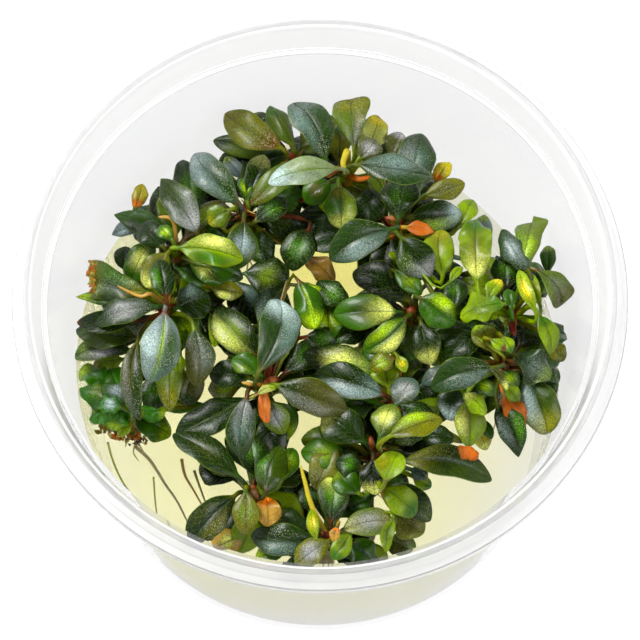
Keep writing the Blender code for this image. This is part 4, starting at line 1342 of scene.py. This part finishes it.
class AQUARIUM_OT_leaves(bpy.types.Operator):
    """Grow the large leaves, each a piece of its own"""

    bl_idname = "aquarium.leaves"
    bl_label = "Large leaves"

    def execute(self, context):
        settings = context.scene.leaf_settings
        mesh, thickness = (settings.around, settings.rings), settings.thickness / MM
        slots = {part["node"]: part["material_slot"] for part in frame["record"]["subparts"]}
        leaf_materials()
        for crown, rows in LEAVES.items():
            for number, row in enumerate(rows, 1):
                node = f"leaf_{crown}_{number}"
                slot = slots[node]
                painter = Painter(bmesh.new())
                add_leaf(painter, crown, row, node, mesh, thickness)
                painter.close()
                for face in painter.form.faces:
                    face.material_index = 0
                keep(f"blade_{crown}_{number}", painter.form, [finishes[slot]], slot, [node])
        return {"FINISHED"}


class AQUARIUM_OT_plantlets(bpy.types.Operator):
    """Grow each stem with its smaller leaves"""

    bl_idname = "aquarium.plantlets"
    bl_label = "Stems and small leaves"

    def execute(self, context):
        thickness = context.scene.leaf_settings.thickness / MM
        for crown, rows in SMALL_LEAVES.items():
            painter = Painter(bmesh.new())
            add_stem(painter, crown)
            for number, row in enumerate(rows):
                add_leaf(painter, crown, row, f"small {crown} {number}", SMALL_MESH, thickness,
                         lushness=LUSHNESS)
            for number, row in enumerate(fill_rows(crown)):
                add_leaf(painter, crown, row, f"fill {crown} {number}", FILL_MESH, thickness,
                         FILL_SHADE, LUSHNESS)
            painter.close()
            keep(f"plantlet_{crown}", painter.form, leaf_materials(), "stem", ["stem_" + crown])
        return {"FINISHED"}


def stalk_shape(share, turn):
    """Give a stalk's radius as a share: flattened, lumpy, thinner towards its end, narrow at both."""
    taper = (1.0 - 0.45 * share) * (1.0 - 0.8 * (2.0 * share - 1.0) ** 6)
    return taper * (1.0 + 0.3 * cos(2.0 * turn) + 0.12 * sin(19.0 * share + turn))


class AQUARIUM_OT_roots(bpy.types.Operator):
    """Lay the roots in the gel and the coloured stalks at the crowns"""

    bl_idname = "aquarium.roots"
    bl_label = "Roots and stalks"

    def execute(self, context):
        for name, (places, radius, tint) in ROOTS.items():
            painter = Painter(bmesh.new())
            path = [on_sight_line(x, y, gel_height(x) - ROOT_COVER - ROOT_SINK * number)
                    for number, (x, y) in enumerate(places)]
            add_tube(painter, path, lambda share, turn, size=radius: size * (1.0 - 0.5 * share),
                     lambda share, shown=tint: linear(shown), 10)
            painter.close()
            keep(f"root_{name}", painter.form, leaf_materials(), "stem")
        for name, (places, radius, layer, tint, crown) in STALKS.items():
            painter = Painter(bmesh.new())
            path = [on_sight_line(x, y, layer_height(layer, y) - STALK_SINK) for x, y in places]
            if crown:
                path.insert(0, crown_top(crown) - Vector((0.0, 0.0, STALK_START)))
            add_tube(painter, path, lambda share, turn, size=radius: size * stalk_shape(share, turn),
                     lambda share, shown=linear(tint): mix(linear("brown"), shown,
                                                           min(1.0, 0.4 + 1.2 * share)), 14)
            painter.close()
            keep(f"stalk_{name}", painter.form, leaf_materials(), "stem")
        return {"FINISHED"}


def add_crumbs(painter, draw, spot, spread, count, size, tints):
    """Heap small lumps, thin flakes among them, about a place."""
    for _ in range(count):
        made = bmesh.ops.create_icosphere(painter.form, subdivisions=2, radius=1.0)["verts"]
        place = spot + Vector([draw.gauss(0.0, reach) for reach in spread])
        grow = Vector([size * draw.uniform(*limits) for limits in CRUMB_SHAPE])
        turn = Matrix.Rotation(draw.uniform(0.0, 2.0 * pi), 3, "Z")
        turn = turn @ Matrix.Rotation(draw.uniform(-0.8, 0.8), 3, "X")
        tint = linear(draw.choice(tints))
        seed = Vector((draw.uniform(0.0, 50.0), 0.0, 0.0))
        for vert in made:
            rough = 1.0 + 0.5 * noise(vert.co * 1.3 + seed)
            shape = Vector(vert.co[axis] * grow[axis] * rough for axis in range(3))
            vert.co = inside_wall(place + turn @ shape)
            vert[painter.paint] = (*tint, 1.0)
            vert[painter.patch] = (*tint, 0.0)
        for face in {face for vert in made for face in vert.link_faces}:
            face.material_index = STEM_SLOT


class AQUARIUM_OT_scraps(bpy.types.Operator):
    """Heap the crumbs of the old root crown and fray the edge of the torn leaf"""

    bl_idname = "aquarium.scraps"
    bl_label = "Scraps"

    def execute(self, context):
        for name, heaps in SCRAPS.items():
            painter = Painter(bmesh.new())
            draw = Random("scraps " + name)
            for x, y, height, spread, count, size, tints in heaps:
                add_crumbs(painter, draw, on_sight_line(x, y, height), spread, count, size, tints.split())
            painter.close()
            keep(f"scraps_{name}", painter.form, leaf_materials(), "stem")
        return {"FINISHED"}


class AQUARIUM_OT_stage(bpy.types.Operator):
    """Set the pale floor, the soft studio light and the camera"""

    bl_idname = "aquarium.stage"
    bl_label = "Stage"

    def execute(self, context):
        settings = context.scene.stage_settings
        scene = context.scene
        form = bmesh.new()
        bmesh.ops.create_circle(form, cap_ends=True, segments=64, radius=FLOOR_RADIUS)
        mesh = bpy.data.meshes.new("floor")
        form.to_mesh(mesh)
        form.free()
        graph = Graph(bpy.data.materials.new("floor"))
        mesh.materials.append(graph.finish(
            Base_Color=(*settings.floor, 1.0), Roughness=0.9,
            Emission_Color=(1.0, 1.0, 1.0, 1.0), Emission_Strength=settings.glow))
        floor = bpy.data.objects.new("floor", mesh)
        floor.location.z = -FLOOR_DROP
        scene.collection.objects.link(floor)
        scene.world = sky_finish(settings.sky, settings.gloom)
        for name, (place, size, share) in LAMPS.items():
            light = bpy.data.lights.new(name, "AREA")
            light.shape = "DISK"
            light.size = size
            light.energy = share * settings.key
            lamp = bpy.data.objects.new(name, light)
            lamp.location = place
            lamp.rotation_euler = (LAMP_AIM - lamp.location).to_track_quat("-Z", "Y").to_euler()
            scene.collection.objects.link(lamp)
        scene.view_settings.view_transform = "Standard"
        camera = bpy.data.objects.new("camera", bpy.data.cameras.new("camera"))
        camera.data.sensor_width = SENSOR
        camera.data.lens = LENS
        rim = Vector((0.0, 0.0, RIM_EDGE_HEIGHT * MM))
        back = Vector((0.0, -cos(EYE_ELEVATION), sin(EYE_ELEVATION)))
        up = Vector((0.0, sin(EYE_ELEVATION), cos(EYE_ELEVATION)))
        camera.location = rim + back * EYE_DISTANCE * MM
        aim = rim - up * AIM_DROP * MM
        camera.rotation_euler = (aim - camera.location).to_track_quat("-Z", "Y").to_euler()
        scene.collection.objects.link(camera)
        scene.camera = camera
        return {"FINISHED"}


# Every step in order, and every group of settings by the name that the scene has for it.
STEPS = (AQUARIUM_OT_cup, AQUARIUM_OT_gel, AQUARIUM_OT_leaves, AQUARIUM_OT_plantlets, AQUARIUM_OT_roots,
         AQUARIUM_OT_scraps, AQUARIUM_OT_stage)
SETTINGS = {"cup_settings": CupSettings, "gel_settings": GelSettings, "leaf_settings": LeafSettings,
            "stage_settings": StageSettings}


class AQUARIUM_PT_panel(bpy.types.Panel):
    """Buttons for each step, in order"""

    bl_label = "Bucephalandra cup"
    bl_idname = "AQUARIUM_PT_panel"
    bl_space_type = "VIEW_3D"
    bl_region_type = "UI"
    bl_category = "Aquarium"

    def draw(self, context):
        for step in STEPS:
            self.layout.operator(step.bl_idname)
        for name, group in SETTINGS.items():
            for key in group.__annotations__:
                self.layout.prop(getattr(context.scene, name), key)


def register():
    for group in (*SETTINGS.values(), *STEPS, AQUARIUM_PT_panel):
        bpy.utils.register_class(group)
    for name, group in SETTINGS.items():
        setattr(bpy.types.Scene, name, bpy.props.PointerProperty(type=group))


def unregister():
    for name in SETTINGS:
        delattr(bpy.types.Scene, name)
    for group in reversed((*SETTINGS.values(), *STEPS, AQUARIUM_PT_panel)):
        bpy.utils.unregister_class(group)


def main():
    """Build every piece and the stage."""
    register()
    bpy.ops.aquarium.cup()
    bpy.ops.aquarium.gel()
    bpy.ops.aquarium.leaves()
    bpy.ops.aquarium.plantlets()
    bpy.ops.aquarium.roots()
    bpy.ops.aquarium.scraps()
    bpy.ops.aquarium.stage()


if __name__ == "__main__":
    main()
